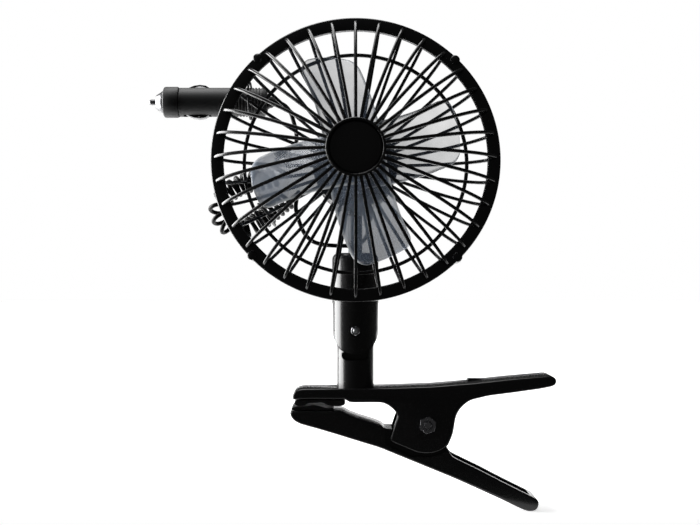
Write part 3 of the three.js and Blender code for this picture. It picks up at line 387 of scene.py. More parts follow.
@dataclass(frozen=True)
class Metal:
    """Turned or plated metal with fine marks along one axis."""

    name: str
    colour: Colour
    gloss: float
    marks: Point = (1.0, 1.0, 1.0)
    stain: float = 0.25

    def material(self) -> bpy.types.Material:
        """Returns the finish as a material."""
        s = Shader(self.name)
        marks = s.noise(700.0, 3.0, 0.6, self.marks)
        stain = s.noise(160.0, 4.0, 0.6)
        dark = tuple(c * (1 - self.stain) for c in self.colour[:3]) + (1.0,)
        return s.close({
            "Base Color": s.blend(stain, dark, self.colour),
            "Metallic": 1.0,
            "Roughness": marks * 0.18 + stain * 0.10 + (self.gloss - 0.12),
            "Normal": s.relief(marks, 0.12, 0.00006),
        })


@dataclass(frozen=True)
class SoftJacket:
    """Rubbery black jacket with a dull sheen and a faint ripple."""

    name: str
    tone: float = 0.012
    gloss: float = 0.42
    shine: float = 0.35

    def material(self) -> bpy.types.Material:
        """Returns the finish as a material."""
        s = Shader(self.name)
        bloom = s.noise(240.0, 4.0, 0.6)
        ripple = s.noise(900.0, 2.0, 0.5)
        return s.close({
            "Base Color": s.blend(bloom, grey(self.tone * 0.7), grey(self.tone * 1.8)),
            "Roughness": bloom * 0.18 + (self.gloss - 0.09),
            "Specular IOR Level": self.shine,
            "Normal": s.relief(ripple, 0.18, 0.0001),
        })


@dataclass(frozen=True)
class ClearTube:
    """Clear glass with a faint haze."""

    name: str

    def material(self) -> bpy.types.Material:
        """Returns the finish as a material."""
        s = Shader(self.name)
        haze = s.noise(300.0, 3.0, 0.5)
        return s.close({
            "Base Color": s.blend(haze, (0.8, 0.85, 0.88, 1.0), (0.92, 0.95, 0.97, 1.0)),
            "Roughness": haze * 0.1 + 0.03,
            "Alpha": haze * 0.12 + 0.28,
        })


class Finish(Enum):
    """Every finish on the fan, with the record's material slot that it belongs to."""

    SHELL = (MouldedPlastic("black_shell", tone=0.006, gloss=0.22, grain=0.02), "black_plastic")
    RIBS = (MouldedPlastic("black_ribs", tone=0.006, gloss=0.2, grain=0.04), "black_plastic")
    DULL = (MouldedPlastic("dull_black", tone=0.013, gloss=0.52, grain=0.4), "dull_plastic")
    PAD = (SoftJacket("pad_rubber", tone=0.006, gloss=0.42), "rubber")
    CORD = (SoftJacket("cord_jacket", tone=0.004, gloss=0.34, shine=0.12), "cord")
    BLADES = (SmokyPlastic("smoky_blades"), "smoke")
    STEEL = (Metal("zinc_steel", (0.52, 0.53, 0.55, 1.0), 0.34), "steel")
    NUT = (Metal("nut_steel", (0.42, 0.42, 0.44, 1.0), 0.18, stain=0.3), "steel")
    BRIGHT = (Metal("bright_plate", (0.15, 0.15, 0.155, 1.0), 0.3, (0.2, 1.0, 1.0), 0.12), "bright_metal")
    BRASS = (Metal("plain_brass", (0.72, 0.55, 0.27, 1.0), 0.3), "brass")
    GLASS = (ClearTube("clear_tube"), "clear")

    def material(self) -> bpy.types.Material:
        """Returns the finish's material, made once."""
        name = self.value[0].name
        return bpy.data.materials.get(name) or self.value[0].material()


# ------------------------------------------------------------------ pieces
def settle(obj: bpy.types.Object, body: Body, finish: Finish, nodes: Iterable[str] = ()) -> bpy.types.Object:
    """Gives a finished piece its material and body, and hides the CAD nodes that it stands for.

    Args:
        obj: the piece, at the origin.
        body: the body that it moves with.
        finish: its finish.
        nodes: the CAD nodes that it stands for.

    Returns:
        The piece.
    """
    obj.data.materials.clear()
    obj.data.materials.append(finish.material())
    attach(obj, body.value)
    nodes = list(nodes)
    if nodes:
        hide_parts(*nodes)
    count = len(obj.data.polygons) if obj.type == "MESH" else len(obj.data.splines[0].points)
    log.info("%s: %s, %d faces or points, for %s", obj.name, body.value, count, nodes or "detail")
    return obj


def soften(obj: bpy.types.Object, angle: float, bevel: float = 0.0, rounds: int = 2) -> None:
    """Shades a mesh smooth up to an angle and rounds its edges.

    Args:
        obj: the mesh object.
        angle: edges sharper than this stay sharp, in degrees.
        bevel: width of the rounding in millimetres, or 0.
        rounds: segments of the rounding.
    """
    mesh = obj.data
    mesh.polygons.foreach_set("use_smooth", [True] * len(mesh.polygons))
    mesh.set_sharp_from_angle(angle=math.radians(angle))
    if bevel:
        mod = obj.modifiers.new("edges", "BEVEL")
        mod.width = bevel * MM
        mod.segments = rounds
        mod.limit_method = "ANGLE"
        mod.angle_limit = math.radians(angle)
        mod.harden_normals = True
        mod.miter_outer = "MITER_ARC"


class Piece:
    """A mesh written in a sub-assembly's millimetres that lands in the fan's frame."""

    MERGE = 1e-4  # millimetres between points that become one
    MERGE_COPY = 1e-6  # metres between a CAD node's points that become one
    FLAT = 0.5  # degrees up to which a CAD node's triangles become one face

    def __init__(self, name: str, place: Matrix = FAN) -> None:
        """Starts an empty mesh.

        Args:
            name: the piece's name.
            place: the matrix from its millimetres to the fan's metres.
        """
        self.name = name
        self.place = place
        self.bm = bmesh.new()

    def mesh(self, points: Sequence[Point], faces: Sequence[Sequence[int]]) -> "Piece":
        """Adds points and faces.

        Args:
            points: the new vertices.
            faces: their numbers, counted from the first new vertex.

        Returns:
            The piece, so that calls can follow each other.
        """
        made = [self.bm.verts.new(p) for p in points]
        for face in faces:
            self.bm.faces.new([made[i] for i in face])
        return self

    def turned(self, profile: Profile, sides: int = 96, at: Point = ORIGIN,
               axis: Axis = Axis.Z) -> "Piece":
        """Adds a turned solid.

        Args:
            profile: (radius, height) points; it starts and ends on the axis or where it began.
            sides: facets round it.
            at: where its own origin is.
            axis: the way its height runs.

        Returns:
            The piece.
        """
        turn = Matrix.Translation(Vector(at)) @ axis.turn()
        rings: list[list[bmesh.types.BMVert]] = []
        for radius, height in profile:
            on_axis = radius < 1e-6
            turns = (math.tau * k / sides for k in range(1 if on_axis else sides))
            points = (turn @ Vector((radius * math.cos(a), radius * math.sin(a), height)) for a in turns)
            rings.append([self.bm.verts.new(point) for point in points])
        for low, high in zip(rings, rings[1:]):
            for k in range(sides):
                quad = ((low, k), (low, k + 1), (high, k + 1), (high, k))
                face = list(dict.fromkeys(ring[i % len(ring)] for ring, i in quad))
                if len(face) > 2:
                    self.bm.faces.new(face)
        return self

    def slab(self, outline: Profile, y0: float, y1: float) -> "Piece":
        """Adds an outline in X and Z, extruded along Y.

        Args:
            outline: (x, z) points.
            y0: where it starts.
            y1: where it ends.

        Returns:
            The piece.
        """
        near = [self.bm.verts.new((x, y0, z)) for x, z in outline]
        far = [self.bm.verts.new((x, y1, z)) for x, z in outline]
        self.bm.faces.new(near)
        self.bm.faces.new(far[::-1])
        for i in range(len(outline)):
            j = (i + 1) % len(outline)
            self.bm.faces.new([near[j], near[i], far[i], far[j]])
        return self

    def take(self, *solids: "Solid") -> "Piece":
        """Adds finished solids."""
        for solid in solids:
            self.bm.from_mesh(solid.mesh)
        return self

    def copy_of(self, *nodes: str) -> "Piece":
        """Adds merged copies of CAD nodes, with their flat faces whole again.

        Args:
            nodes: the nodes to copy.

        Returns:
            The piece.
        """
        back = self.place.inverted()
        for node in nodes:
            part = bmesh.new()
            part.from_mesh(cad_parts[node].data)
            bmesh.ops.remove_doubles(part, verts=part.verts, dist=self.MERGE_COPY)
            flat = math.radians(self.FLAT)
            bmesh.ops.dissolve_limit(part, angle_limit=flat, verts=part.verts, edges=part.edges)
            part.transform(back)
            whole = bpy.data.meshes.new(node)
            part.to_mesh(whole)
            self.bm.from_mesh(whole)
            bpy.data.meshes.remove(whole)
            part.free()
        return self

    def done(self, body: Body, finish: Finish, nodes: Iterable[str] = (), angle: float = 32.0,
             bevel: float = 0.0, rounds: int = 2, tidy: bool = True) -> bpy.types.Object:
        """Closes the mesh and makes the piece's object.

        Args:
            body: the body that it moves with.
            finish: its finish.
            nodes: the CAD nodes that it stands for.
            angle: edges sharper than this stay sharp.
            bevel: width of the edges' rounding in millimetres.
            rounds: segments of the rounding.
            tidy: whether doubles are merged and normals recalculated.

        Returns:
            The finished object.
        """
        if tidy:
            bmesh.ops.remove_doubles(self.bm, verts=self.bm.verts, dist=self.MERGE)
            bmesh.ops.recalc_face_normals(self.bm, faces=self.bm.faces)
        self.bm.transform(self.place)
        data = bpy.data.meshes.new(self.name)
        self.bm.to_mesh(data)
        self.bm.free()
        obj = linked(self.name, data)
        soften(obj, angle, bevel, rounds)
        return settle(obj, body, finish, nodes)


class Solid:
    """A closed mesh in millimetres that is joined to others and cut by them."""

    MERGE = 1e-5  # millimetres between points that become one

    def __init__(self, mesh: bpy.types.Mesh) -> None:
        """Keeps a mesh whose faces look outward."""
        self.mesh = mesh

    @classmethod
    def lathe(cls, profile: Profile, axis: Axis = Axis.Z, at: Point = ORIGIN,
              sides: int = 96) -> "Solid":
        """Makes a turned solid.

        Args:
            profile: (radius, height) points, as in Piece.turned.
            axis: the way its height runs.
            at: where its own origin is.
            sides: facets round it.

        Returns:
            The solid.
        """
        return cls._closed(Piece("solid").turned(profile, sides, at, axis).bm)

    @classmethod
    def rod(cls, radius: float, start: float, end: float, axis: Axis = Axis.Z, at: Point = ORIGIN,
            tip: float | None = None, sides: int = 96) -> "Solid":
        """Makes a rod or a cone.

        Args:
            radius: at its start.
            start: where it starts on its axis.
            end: where it ends.
            axis: the way it runs.
            at: where its own origin is.
            tip: its radius at the end, if that differs.
            sides: facets round it.

        Returns:
            The solid.
        """
        last = radius if tip is None else tip
        return cls.lathe([(0, start), (radius, start), (last, end), (0, end)], axis, at, sides)

    @classmethod
    def slab(cls, outline: Profile, y0: float, y1: float) -> "Solid":
        """Makes an outline in X and Z, extruded along Y from y0 to y1."""
        return cls._closed(Piece("solid").slab(outline, y0, y1).bm)

    @classmethod
    def pillow(cls, outline: Profile, y0: float, y1: float, edge: float, steps: int = 4) -> "Solid":
        """Makes an outline in X and Z, extruded along Y, with rounded ends.

        Args:
            outline: (x, z) points.
            y0: where it starts.
            y1: where it ends.
            edge: the rounding's radius.
            steps: its segments.

        Returns:
            The solid.
        """
        turns = [math.pi / 2 * i / steps for i in range(steps + 1)]
        layers = [(y0 + edge * (1 - math.sin(a)), edge * (1 - math.cos(a))) for a in reversed(turns)]
        layers += [(y1 - edge * (1 - math.sin(a)), edge * (1 - math.cos(a))) for a in turns]
        count = len(outline)
        points = [(x, y, z) for y, inset in layers for x, z in shrunk(outline, inset)]
        faces: list[Sequence[int]] = [range(count), range(len(points) - 1, len(points) - count - 1, -1)]
        for low in range(0, len(points) - count, count):
            for i in range(count):
                j = (i + 1) % count
                faces.append((low + j, low + i, low + i + count, low + j + count))
        return cls._closed(Piece("solid").mesh(points, faces).bm)

    @classmethod
    def box(cls, low: Point, high: Point) -> "Solid":
        """Makes a box between two corners."""
        (x0, y0, z0), (x1, y1, z1) = low, high
        return cls.slab([(x0, z0), (x1, z0), (x1, z1), (x0, z1)], y0, y1)

    @classmethod
    def _closed(cls, bm: bmesh.types.BMesh) -> "Solid":
        """Closes a mesh under construction.

        Args:
            bm: the mesh, which is used up.

        Returns:
            The solid.
        """
        bmesh.ops.remove_doubles(bm, verts=bm.verts, dist=cls.MERGE)
        bmesh.ops.recalc_face_normals(bm, faces=bm.faces)
        mesh = bpy.data.meshes.new("solid")
        bm.to_mesh(mesh)
        bm.free()
        return cls(mesh)

    def _with(self, other: "Solid", operation: str) -> "Solid":
        """Joins, cuts or intersects two solids.

        Args:
            other: the second solid.
            operation: UNION, DIFFERENCE or INTERSECT.

        Returns:
            The result.
        """
        pair = [linked("solid", mesh) for mesh in (self.mesh, other.mesh)]
        mod = pair[0].modifiers.new("with", "BOOLEAN")
        mod.operation, mod.solver, mod.object = operation, "MANIFOLD", pair[1]
        made = evaluated(pair[0])
        for obj in pair:
            bpy.data.objects.remove(obj)
        return Solid(made)

    def __add__(self, other: "Solid") -> "Solid":
        """Returns both joined."""
        return self._with(other, "UNION")

    def __sub__(self, other: "Solid") -> "Solid":
        """Returns this one cut by the other."""
        return self._with(other, "DIFFERENCE")

    def __and__(self, other: "Solid") -> "Solid":
        """Returns what both hold."""
        return self._with(other, "INTERSECT")

    def cut(self, *others: "Solid") -> "Solid":
        """Returns this one cut by the others, one after the other."""
        return functools.reduce(Solid.__sub__, others, self)


def eased(outline: Profile, reach: float = 3.0, steps: int = 4,
          share: float = 0.45) -> list[tuple[float, float]]:
    """Rounds an outline's corners with short parabolas.

    Args:
        outline: its corners.
        reach: how far from a corner the rounding starts.
        steps: segments in each rounding.
        share: how much of a side one rounding may take.

    Returns:
        The smoother outline.
    """
    out: list[tuple[float, float]] = []
    for i, corner in enumerate(outline):
        a, b, c = Vector(outline[i - 1]), Vector(corner), Vector(outline[(i + 1) % len(outline)])
        start, end = (b + (p - b).normalized() * min(reach, (p - b).length * share) for p in (a, c))
        for k in range(steps + 1):
            t = k / steps
            out.append(tuple(start.lerp(b, t).lerp(b.lerp(end, t), t)))
    return out


def shrunk(outline: Profile, inset: float, least: float = 0.7,
           passes: int = 12) -> list[tuple[float, float]]:
    """Moves an outline's corners inward and closes the sides that turn over.

    Args:
        outline: its corners.
        inset: how far.
        least: the least divisor at a sharp corner, which keeps its move short.
        passes: how often turned sides are looked for.

    Returns:
        The smaller outline, with as many corners.
    """
    ring = [Vector(p) for p in outline]
    area = sum(a.x * b.y - b.x * a.y for a, b in zip(ring, ring[1:] + ring[:1]))
    turn = math.copysign(1.0, area)
    out = []
    for i, here in enumerate(ring):
        before, after = here - ring[i - 1], ring[(i + 1) % len(ring)] - here
        first, second = (Vector((-e.y, e.x)).normalized() * turn for e in (before, after))
        out.append(here + (first + second) * inset / max(1 + first.dot(second), least))
    for _ in range(passes):
        for i, here in enumerate(ring):
            j = (i + 1) % len(ring)
            if (out[j] - out[i]).dot(ring[j] - here) <= 0:
                out[i] = out[j] = (out[i] + out[j]) / 2
    return [tuple(corner) for corner in out]


def arc(x: float, z: float, radius: float, start: float, end: float,
        steps: int) -> list[tuple[float, float]]:
    """Returns points on an arc.

    Args:
        x: its middle.
        z: its middle.
        radius: its radius.
        start: first angle, in degrees.
        end: last angle.
        steps: segments.

    Returns:
        The points, both ends included.
    """
    spokes = (polar(radius, start + (end - start) * i / steps) for i in range(steps + 1))
    return [(x + across, z + up) for across, up in spokes]


class Tree(Graph):
    """A geometry node tree with named inputs, evaluated to a plain mesh."""

    def __init__(self, name: str) -> None:
        """Starts with a geometry input, a material input and a geometry output.

        Args:
            name: the tree's name.
        """
        tree = bpy.data.node_groups.new(name, "GeometryNodeTree")
        tree.interface.new_socket(name="Geometry", in_out="INPUT", socket_type="NodeSocketGeometry")
        tree.interface.new_socket(name="Geometry", in_out="OUTPUT", socket_type="NodeSocketGeometry")
        tree.interface.new_socket(name="Finish", in_out="INPUT", socket_type="NodeSocketMaterial")
        super().__init__(tree)
        self.name = name
        self.entry = self.node("NodeGroupInput")

    def number(self, name: str, default: float) -> Value:
        """Adds a named size.

        Args:
            name: the input's name.
            default: its value when nothing is set.

        Returns:
            The input as a Value.
        """
        kind = "NodeSocketInt" if isinstance(default, int) else "NodeSocketFloat"
        socket = self.tree.interface.new_socket(name=name, in_out="INPUT", socket_type=kind)
        socket.default_value = default
        return Value(self, self.entry.outputs[name])

    def vector(self, x: object = 0.0, y: object = 0.0, z: object = 0.0) -> Value:
        """Returns a vector of three numbers or Values."""
        return self.value("ShaderNodeCombineXYZ", {}, {0: x, 1: y, 2: z})

    def step(self, kind: str, settings: dict | None = None,
             sockets: dict | None = None) -> bpy.types.NodeSocket:
        """Adds a geometry node, named without that prefix, and returns its first output."""
        return self.node("GeometryNode" + kind, settings, sockets).outputs[0]

    def close(self, geometry: bpy.types.NodeSocket) -> None:
        """Ends the tree in Realize Instances and Set Material.

        Args:
            geometry: the socket with what the tree made.
        """
        real = self.step("RealizeInstances", {}, {"Geometry": geometry})
        finish = self.entry.outputs["Finish"]
        painted = self.step("SetMaterial", {}, {"Geometry": real, "Material": finish})
        self.node("NodeGroupOutput", {}, {0: painted})

    def make(self, name: str, place: Matrix, body: Body, finish: Finish, nodes: Iterable[str] = (),
             base: Sequence[Point] = (), angle: float = 40.0, **sizes: float) -> bpy.types.Object:
        """Evaluates the tree once as a plain mesh.

        Args:
            name: the piece's name.
            place: the frame that its millimetres belong to.
            body: the body that it moves with.
            finish: its finish.
            nodes: the CAD nodes that it stands for.
            base: the points that the tree starts from, if it needs any.
            angle: edges sharper than this stay sharp.
            sizes: values for the named inputs, with _ for a space.

        Returns:
            The finished object.
        """
        start = bpy.data.meshes.new(name + "_base")
        start.from_pydata([Vector(p) for p in base], [], [])
        holder = linked(name + "_base", start)
        mod = holder.modifiers.new(self.name, "NODES")
        mod.node_group = self.tree
        named = {i.name: i.identifier for i in self.tree.interface.items_tree if i.in_out == "INPUT"}
        mod[named["Finish"]] = finish.material()
        for key, size in sizes.items():
            mod[named[key.replace("_", " ")]] = size
        made = evaluated(holder)
        made.name = name
        holder.modifiers.remove(mod)
        bpy.data.objects.remove(holder)
        made.transform(place)
        obj = linked(name, made)
        soften(obj, angle)
        return settle(obj, body, finish, nodes)


# ------------------------------------------------------------------ repeated pieces
def rib_tree() -> Tree:
    """Returns the tree of a dome's ribs: one bent bar, repeated round the axis."""
    t = Tree("dome_ribs")
    count = t.number("Count", 36)
    inner, outer = t.number("Inner Radius", 18.0), t.number("Outer Radius", 89.4)
    full, height = t.number("Full Radius", 89.8), t.number("Dome Height", 30.0)
    bend, round_off = t.number("Bend", 1.65), t.number("Round Off", 0.57)
    wide, thick = t.number("Width", 2.1), t.number("Thickness", 2.6)
    edge, sink = t.number("Edge Rounding", 0.7), t.number("Sink", 1.3)
    samples, corner_steps = 30, 3
    line = t.step("CurvePrimitiveLine", {}, {"End": (1.0, 0.0, 0.0)})
    fine = t.step("ResampleCurve", {}, {"Curve": line, "Count": samples})
    along = t.value("GeometryNodeSplineParameter", output="Factor")
    radius = inner + (outer - inner) * (along * (math.pi / 2)).sine()
    rise = height * (1 - (radius / full) ** bend) ** round_off
    place = t.vector(radius, 0.0, rise - sink)
    bent = t.step("SetPosition", {}, {"Geometry": fine, "Position": place})
    level = t.step("SetCurveNormal", {"mode": "Z_UP"}, {"Curve": bent})
    quad = t.step("CurvePrimitiveQuadrilateral", {}, {"Width": wide, "Height": thick})
    sockets = {"Curve": quad, "Count": corner_steps, "Radius": edge}
    soft = t.step("FilletCurve", {"mode": "POLY"}, sockets)
    bar = t.step("CurveToMesh", {}, {"Curve": level, "Profile Curve": soft, "Fill Caps": True})
    places = t.step("Points", {}, {"Count": count})
    number = t.value("GeometryNodeInputIndex")
    turn = t.vector(0.0, 0.0, number * math.tau / count)
    t.close(t.step("InstanceOnPoints", {}, {"Points": places, "Instance": bar, "Rotation": turn}))
    return t


def screw_tree() -> Tree:
    """Returns the tree of slotted screws, one on each starting point, their heads down."""
    t = Tree("slotted_screws")
    head, high = t.number("Head Radius", 2.5), t.number("Head Height", 1.6)
    shank, length = t.number("Shank Radius", 1.4), t.number("Length", 9.0)
    slot, facing = t.number("Slot", 0.7), t.number("Facing", -1.0)
    head_sides, shank_sides, slot_turn = 40, 20, 0.7
    disc = t.step("MeshCylinder", {}, {"Vertices": head_sides, "Radius": head, "Depth": high})
    crown = t.step("Transform", {}, {
        "Geometry": disc, "Translation": t.vector(0.0, 0.0, facing * high / 2),
    })
    cutter = t.step("MeshCube", {}, {"Size": t.vector(head * 3, slot, high)})
    cutter = t.step("Transform", {}, {
        "Geometry": cutter, "Translation": t.vector(0.0, 0.0, facing * high),
        "Rotation": (0.0, 0.0, slot_turn),
    })
    crown = t.step("MeshBoolean", {"operation": "DIFFERENCE"}, {"Mesh 1": crown, "Mesh 2": cutter})
    stem = t.step("MeshCylinder", {}, {"Vertices": shank_sides, "Radius": shank, "Depth": length})
    stem = t.step("Transform", {}, {
        "Geometry": stem, "Translation": t.vector(0.0, 0.0, 0 - facing * length / 2),
    })
    both = t.node("GeometryNodeJoinGeometry")
    t.tree.links.new(crown, both.inputs[0])
    t.tree.links.new(stem, both.inputs[0])
    start = t.entry.outputs["Geometry"]
    t.close(t.step("InstanceOnPoints", {}, {"Points": start, "Instance": both.outputs[0]}))
    return t


# ------------------------------------------------------------------ lines
def spline(points: Sequence[Point], per_span: int = 40) -> list[Vector]:
    """A centripetal curve through points.

    Args:
        points: the route.
        per_span: steps between two of its points.

    Returns:
        Closely spaced points.
    """
    p = [Vector(q) for q in points]
    p = [2 * p[0] - p[1], *p, 2 * p[-1] - p[-2]]
    line: list[Vector] = []
    for a, b, c, d in zip(p, p[1:], p[2:], p[3:]):
        ab, bc, cd = (max((v - u).length ** 0.5, 1e-6) for u, v in ((a, b), (b, c), (c, d)))
        leave = ((b - a) / ab - (c - a) / (ab + bc) + (c - b) / bc) * bc
        reach = ((c - b) / bc - (d - b) / (bc + cd) + (d - c) / cd) * bc
        for i in range(per_span):
            s = i / per_span
            cube = 2 * b - 2 * c + leave + reach
            square = 3 * (c - b) - 2 * leave - reach
            line.append(b + leave * s + square * s * s + cube * s ** 3)
    return [*line, p[-2]]


def length_of(line: Sequence[Vector]) -> float:
    """Returns the length of a line."""
    return sum((b - a).length for a, b in zip(line, line[1:]))


def spaced(line: Sequence[Vector], count: int) -> list[Vector]:
    """Spreads points evenly over a line.

    Args:
        line: the line.
        count: the number of steps.

    Returns:
        count + 1 points, the line's ends included.
    """
    far = [0.0]
    for a, b in zip(line, line[1:]):
        far.append(far[-1] + (b - a).length)
    out, i = [], 0
    for k in range(count + 1):
        want = far[-1] * k / count
        while i < len(far) - 2 and far[i + 1] < want:
            i += 1
        out.append(line[i].lerp(line[i + 1], (want - far[i]) / max(far[i + 1] - far[i], 1e-9)))
    return out


def wire(name: str, line: Sequence[Vector], radius: float, place: Matrix, closed: bool = False,
         sides: int = 3) -> bpy.types.Object:
    """Makes a round wire along a line.

    Args:
        name: the object's name.
        line: its middle line in the place's millimetres.
        radius: in millimetres.
        place: the frame of those millimetres.
        closed: whether the line is a loop.
        sides: the bevel's resolution.

    Returns:
        A curve object of one spline.
    """
    data = bpy.data.curves.new(name, "CURVE")
    data.dimensions = "3D"
    data.bevel_depth = radius * MM
    data.bevel_resolution = sides
    data.use_fill_caps = not closed
    run = data.splines.new("POLY")
    run.points.add(len(line) - 1)
    for point, at in zip(run.points, line):
        point.co = (*(place @ at), 1.0)
    run.use_cyclic_u = closed
    run.use_smooth = True
    return linked(name, data)


def as_mesh(obj: bpy.types.Object, merge: float = 1e-7, sharp: float = 50.0) -> bpy.types.Object:
    """Turns a wire into a plain mesh object of the same name.

    Args:
        obj: a curve object.
        merge: metres between points that become one.
        sharp: edges sharper than this stay sharp, in degrees.

    Returns:
        The mesh object that takes its place.
    """
    name, data = obj.name, evaluated(obj)
    bpy.data.objects.remove(obj)
    made = linked(name, data)
    made.name = name
    tidy = bmesh.new()
    tidy.from_mesh(data)
    bmesh.ops.remove_doubles(tidy, verts=tidy.verts, dist=merge)
    tidy.to_mesh(data)
    tidy.free()
    soften(made, sharp)
    return made


# ------------------------------------------------------------------ sub-assemblies
@dataclass(frozen=True)
class SoftLight:
    """A rectangular soft light, in millimetres and watts, that faces the fan."""

    name: str
    at: Point
    size: tuple[float, float]
    power: float
    aim: Point = (0.0, -30.0, 90.0)

    def build(self) -> None:
        """Makes the light and turns it to its aim."""
        data = bpy.data.lights.new(self.name, "AREA")
        data.shape = "RECTANGLE"
        data.size, data.size_y = (side * MM for side in self.size)
        data.energy = self.power
        light = linked(self.name, data)
        light.location = Vector(self.at) * MM
        toward = Vector(self.aim) * MM - light.location
        light.rotation_euler = toward.to_track_quat("-Z", "Y").to_euler()


@dataclass
class Studio:
    """Camera, lights, floor and backdrop. The floor's sizes are metres."""

    eye: Point = (-3.57, -820.0, 92.6)
    focal: float = 62.68
    sensor: float = 36.0
    clip: tuple[float, float] = (0.01, 100.0)
    half: float = 0.6
    front: float = -0.035
    deep: float = 0.5
    sweep: float = 0.11
    sweep_steps: int = 24
    backdrop: float = 0.045
    glow: float = 0.75
    room: float = 0.045
    lights: tuple[SoftLight, ...] = (
        SoftLight("left_panel", (-900, 190, 190), (760, 1100), 36.0),
        SoftLight("top_panel", (-160, 100, 900), (700, 500), 6.0),
    )

    def build(self) -> None:
        """Makes the camera, then the set round the fan."""
        bpy.context.scene.view_settings.view_transform = "Standard"
        self._camera()
        self._floor()
        self._world()
        for light in self.lights:
            light.build()

    def _camera(self) -> None:
        """Places the camera level, square to the fan's front."""
        data = bpy.data.cameras.new("camera")
        data.lens, data.sensor_width = self.focal, self.sensor
        data.clip_start, data.clip_end = self.clip
        cam = linked("camera", data)
        cam.location = Vector(self.eye) * MM
        cam.rotation_euler = (math.pi / 2, 0.0, 0.0)
        bpy.context.scene.camera = cam

    def _floor(self) -> None:
        """Makes the pale, faintly glowing floor, which sweeps up into a low backdrop behind."""
        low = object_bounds()[0].z
        turns = (math.pi / 2 * i / self.sweep_steps for i in range(1, self.sweep_steps + 1))
        path = [
            (self.front, low),
            (self.deep, low),
            *((self.deep + self.sweep * math.sin(a), low + self.sweep * (1 - math.cos(a))) for a in turns),
            (self.deep + self.sweep, self.backdrop),
        ]
        points = [(x, y, z) for y, z in path for x in (-self.half, self.half)]
        faces = [(2 * i, 2 * i + 1, 2 * i + 3, 2 * i + 2) for i in range(len(path) - 1)]
        data = bpy.data.meshes.new("floor")
        data.from_pydata(points, [], faces)
        data.polygons.foreach_set("use_smooth", [True] * len(faces))
        floor = linked("floor", data)
        s = Shader("pale_floor")
        tone = s.noise(2.0, 2.0, 0.5)
        data.materials.append(s.close({
            "Base Color": s.blend(tone, grey(0.86), grey(0.90)), "Roughness": 0.9,
            "Emission Color": s.blend(tone, grey(0.94), grey(0.98)), "Emission Strength": self.glow,
        }))
        floor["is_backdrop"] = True

    def _world(self) -> None:
        """Lights the room evenly and dimly; the camera sees plain white."""
        world = bpy.data.worlds.new("room")
        world.use_nodes = True
        bpy.context.scene.world = world
        g = Graph(world.node_tree)
        seen = g.node("ShaderNodeLightPath").outputs["Is Camera Ray"]
        dim, white = (
            g.node("ShaderNodeBackground", {}, {"Color": grey(1.0), "Strength": strength}).outputs[0]
            for strength in (self.room, 1.0)
        )
        mix = g.node("ShaderNodeMixShader", {}, {0: seen, 1: dim, 2: white})
        g.node("ShaderNodeOutputWorld", {}, {"Surface": mix.outputs[0]})


@dataclass(frozen=True)
class Tie:
    """A thin tie round a bundle; where square is below 1 it is squarer than an ellipse."""

    name: str
    node: str
    at: Point
    wide: float
    tall: float
    turn: float
    square: float = 0.75
    thick: float = 0.7
    steps: int = 64

    def build(self) -> bpy.types.Object:
        """Makes the tie, turned about the head's axis, and returns it."""
        place = Matrix.Translation(Vector(self.at)) @ Matrix.Rotation(math.radians(self.turn), 4, "Z")
        loop = [place @ self._point(math.tau * i / self.steps) for i in range(self.steps)]
        line = wire(self.name, loop, self.thick, HEAD, closed=True, sides=2)
        return settle(as_mesh(line), Body.HEAD, Finish.DULL, (self.node,))

    def _point(self, a: float) -> Vector:
        """Returns the loop's point at an angle, in radians."""
        c, s = (math.copysign(abs(part) ** self.square, part) for part in (math.cos(a), math.sin(a)))
        return Vector((c * self.wide, 0.0, s * self.tall))


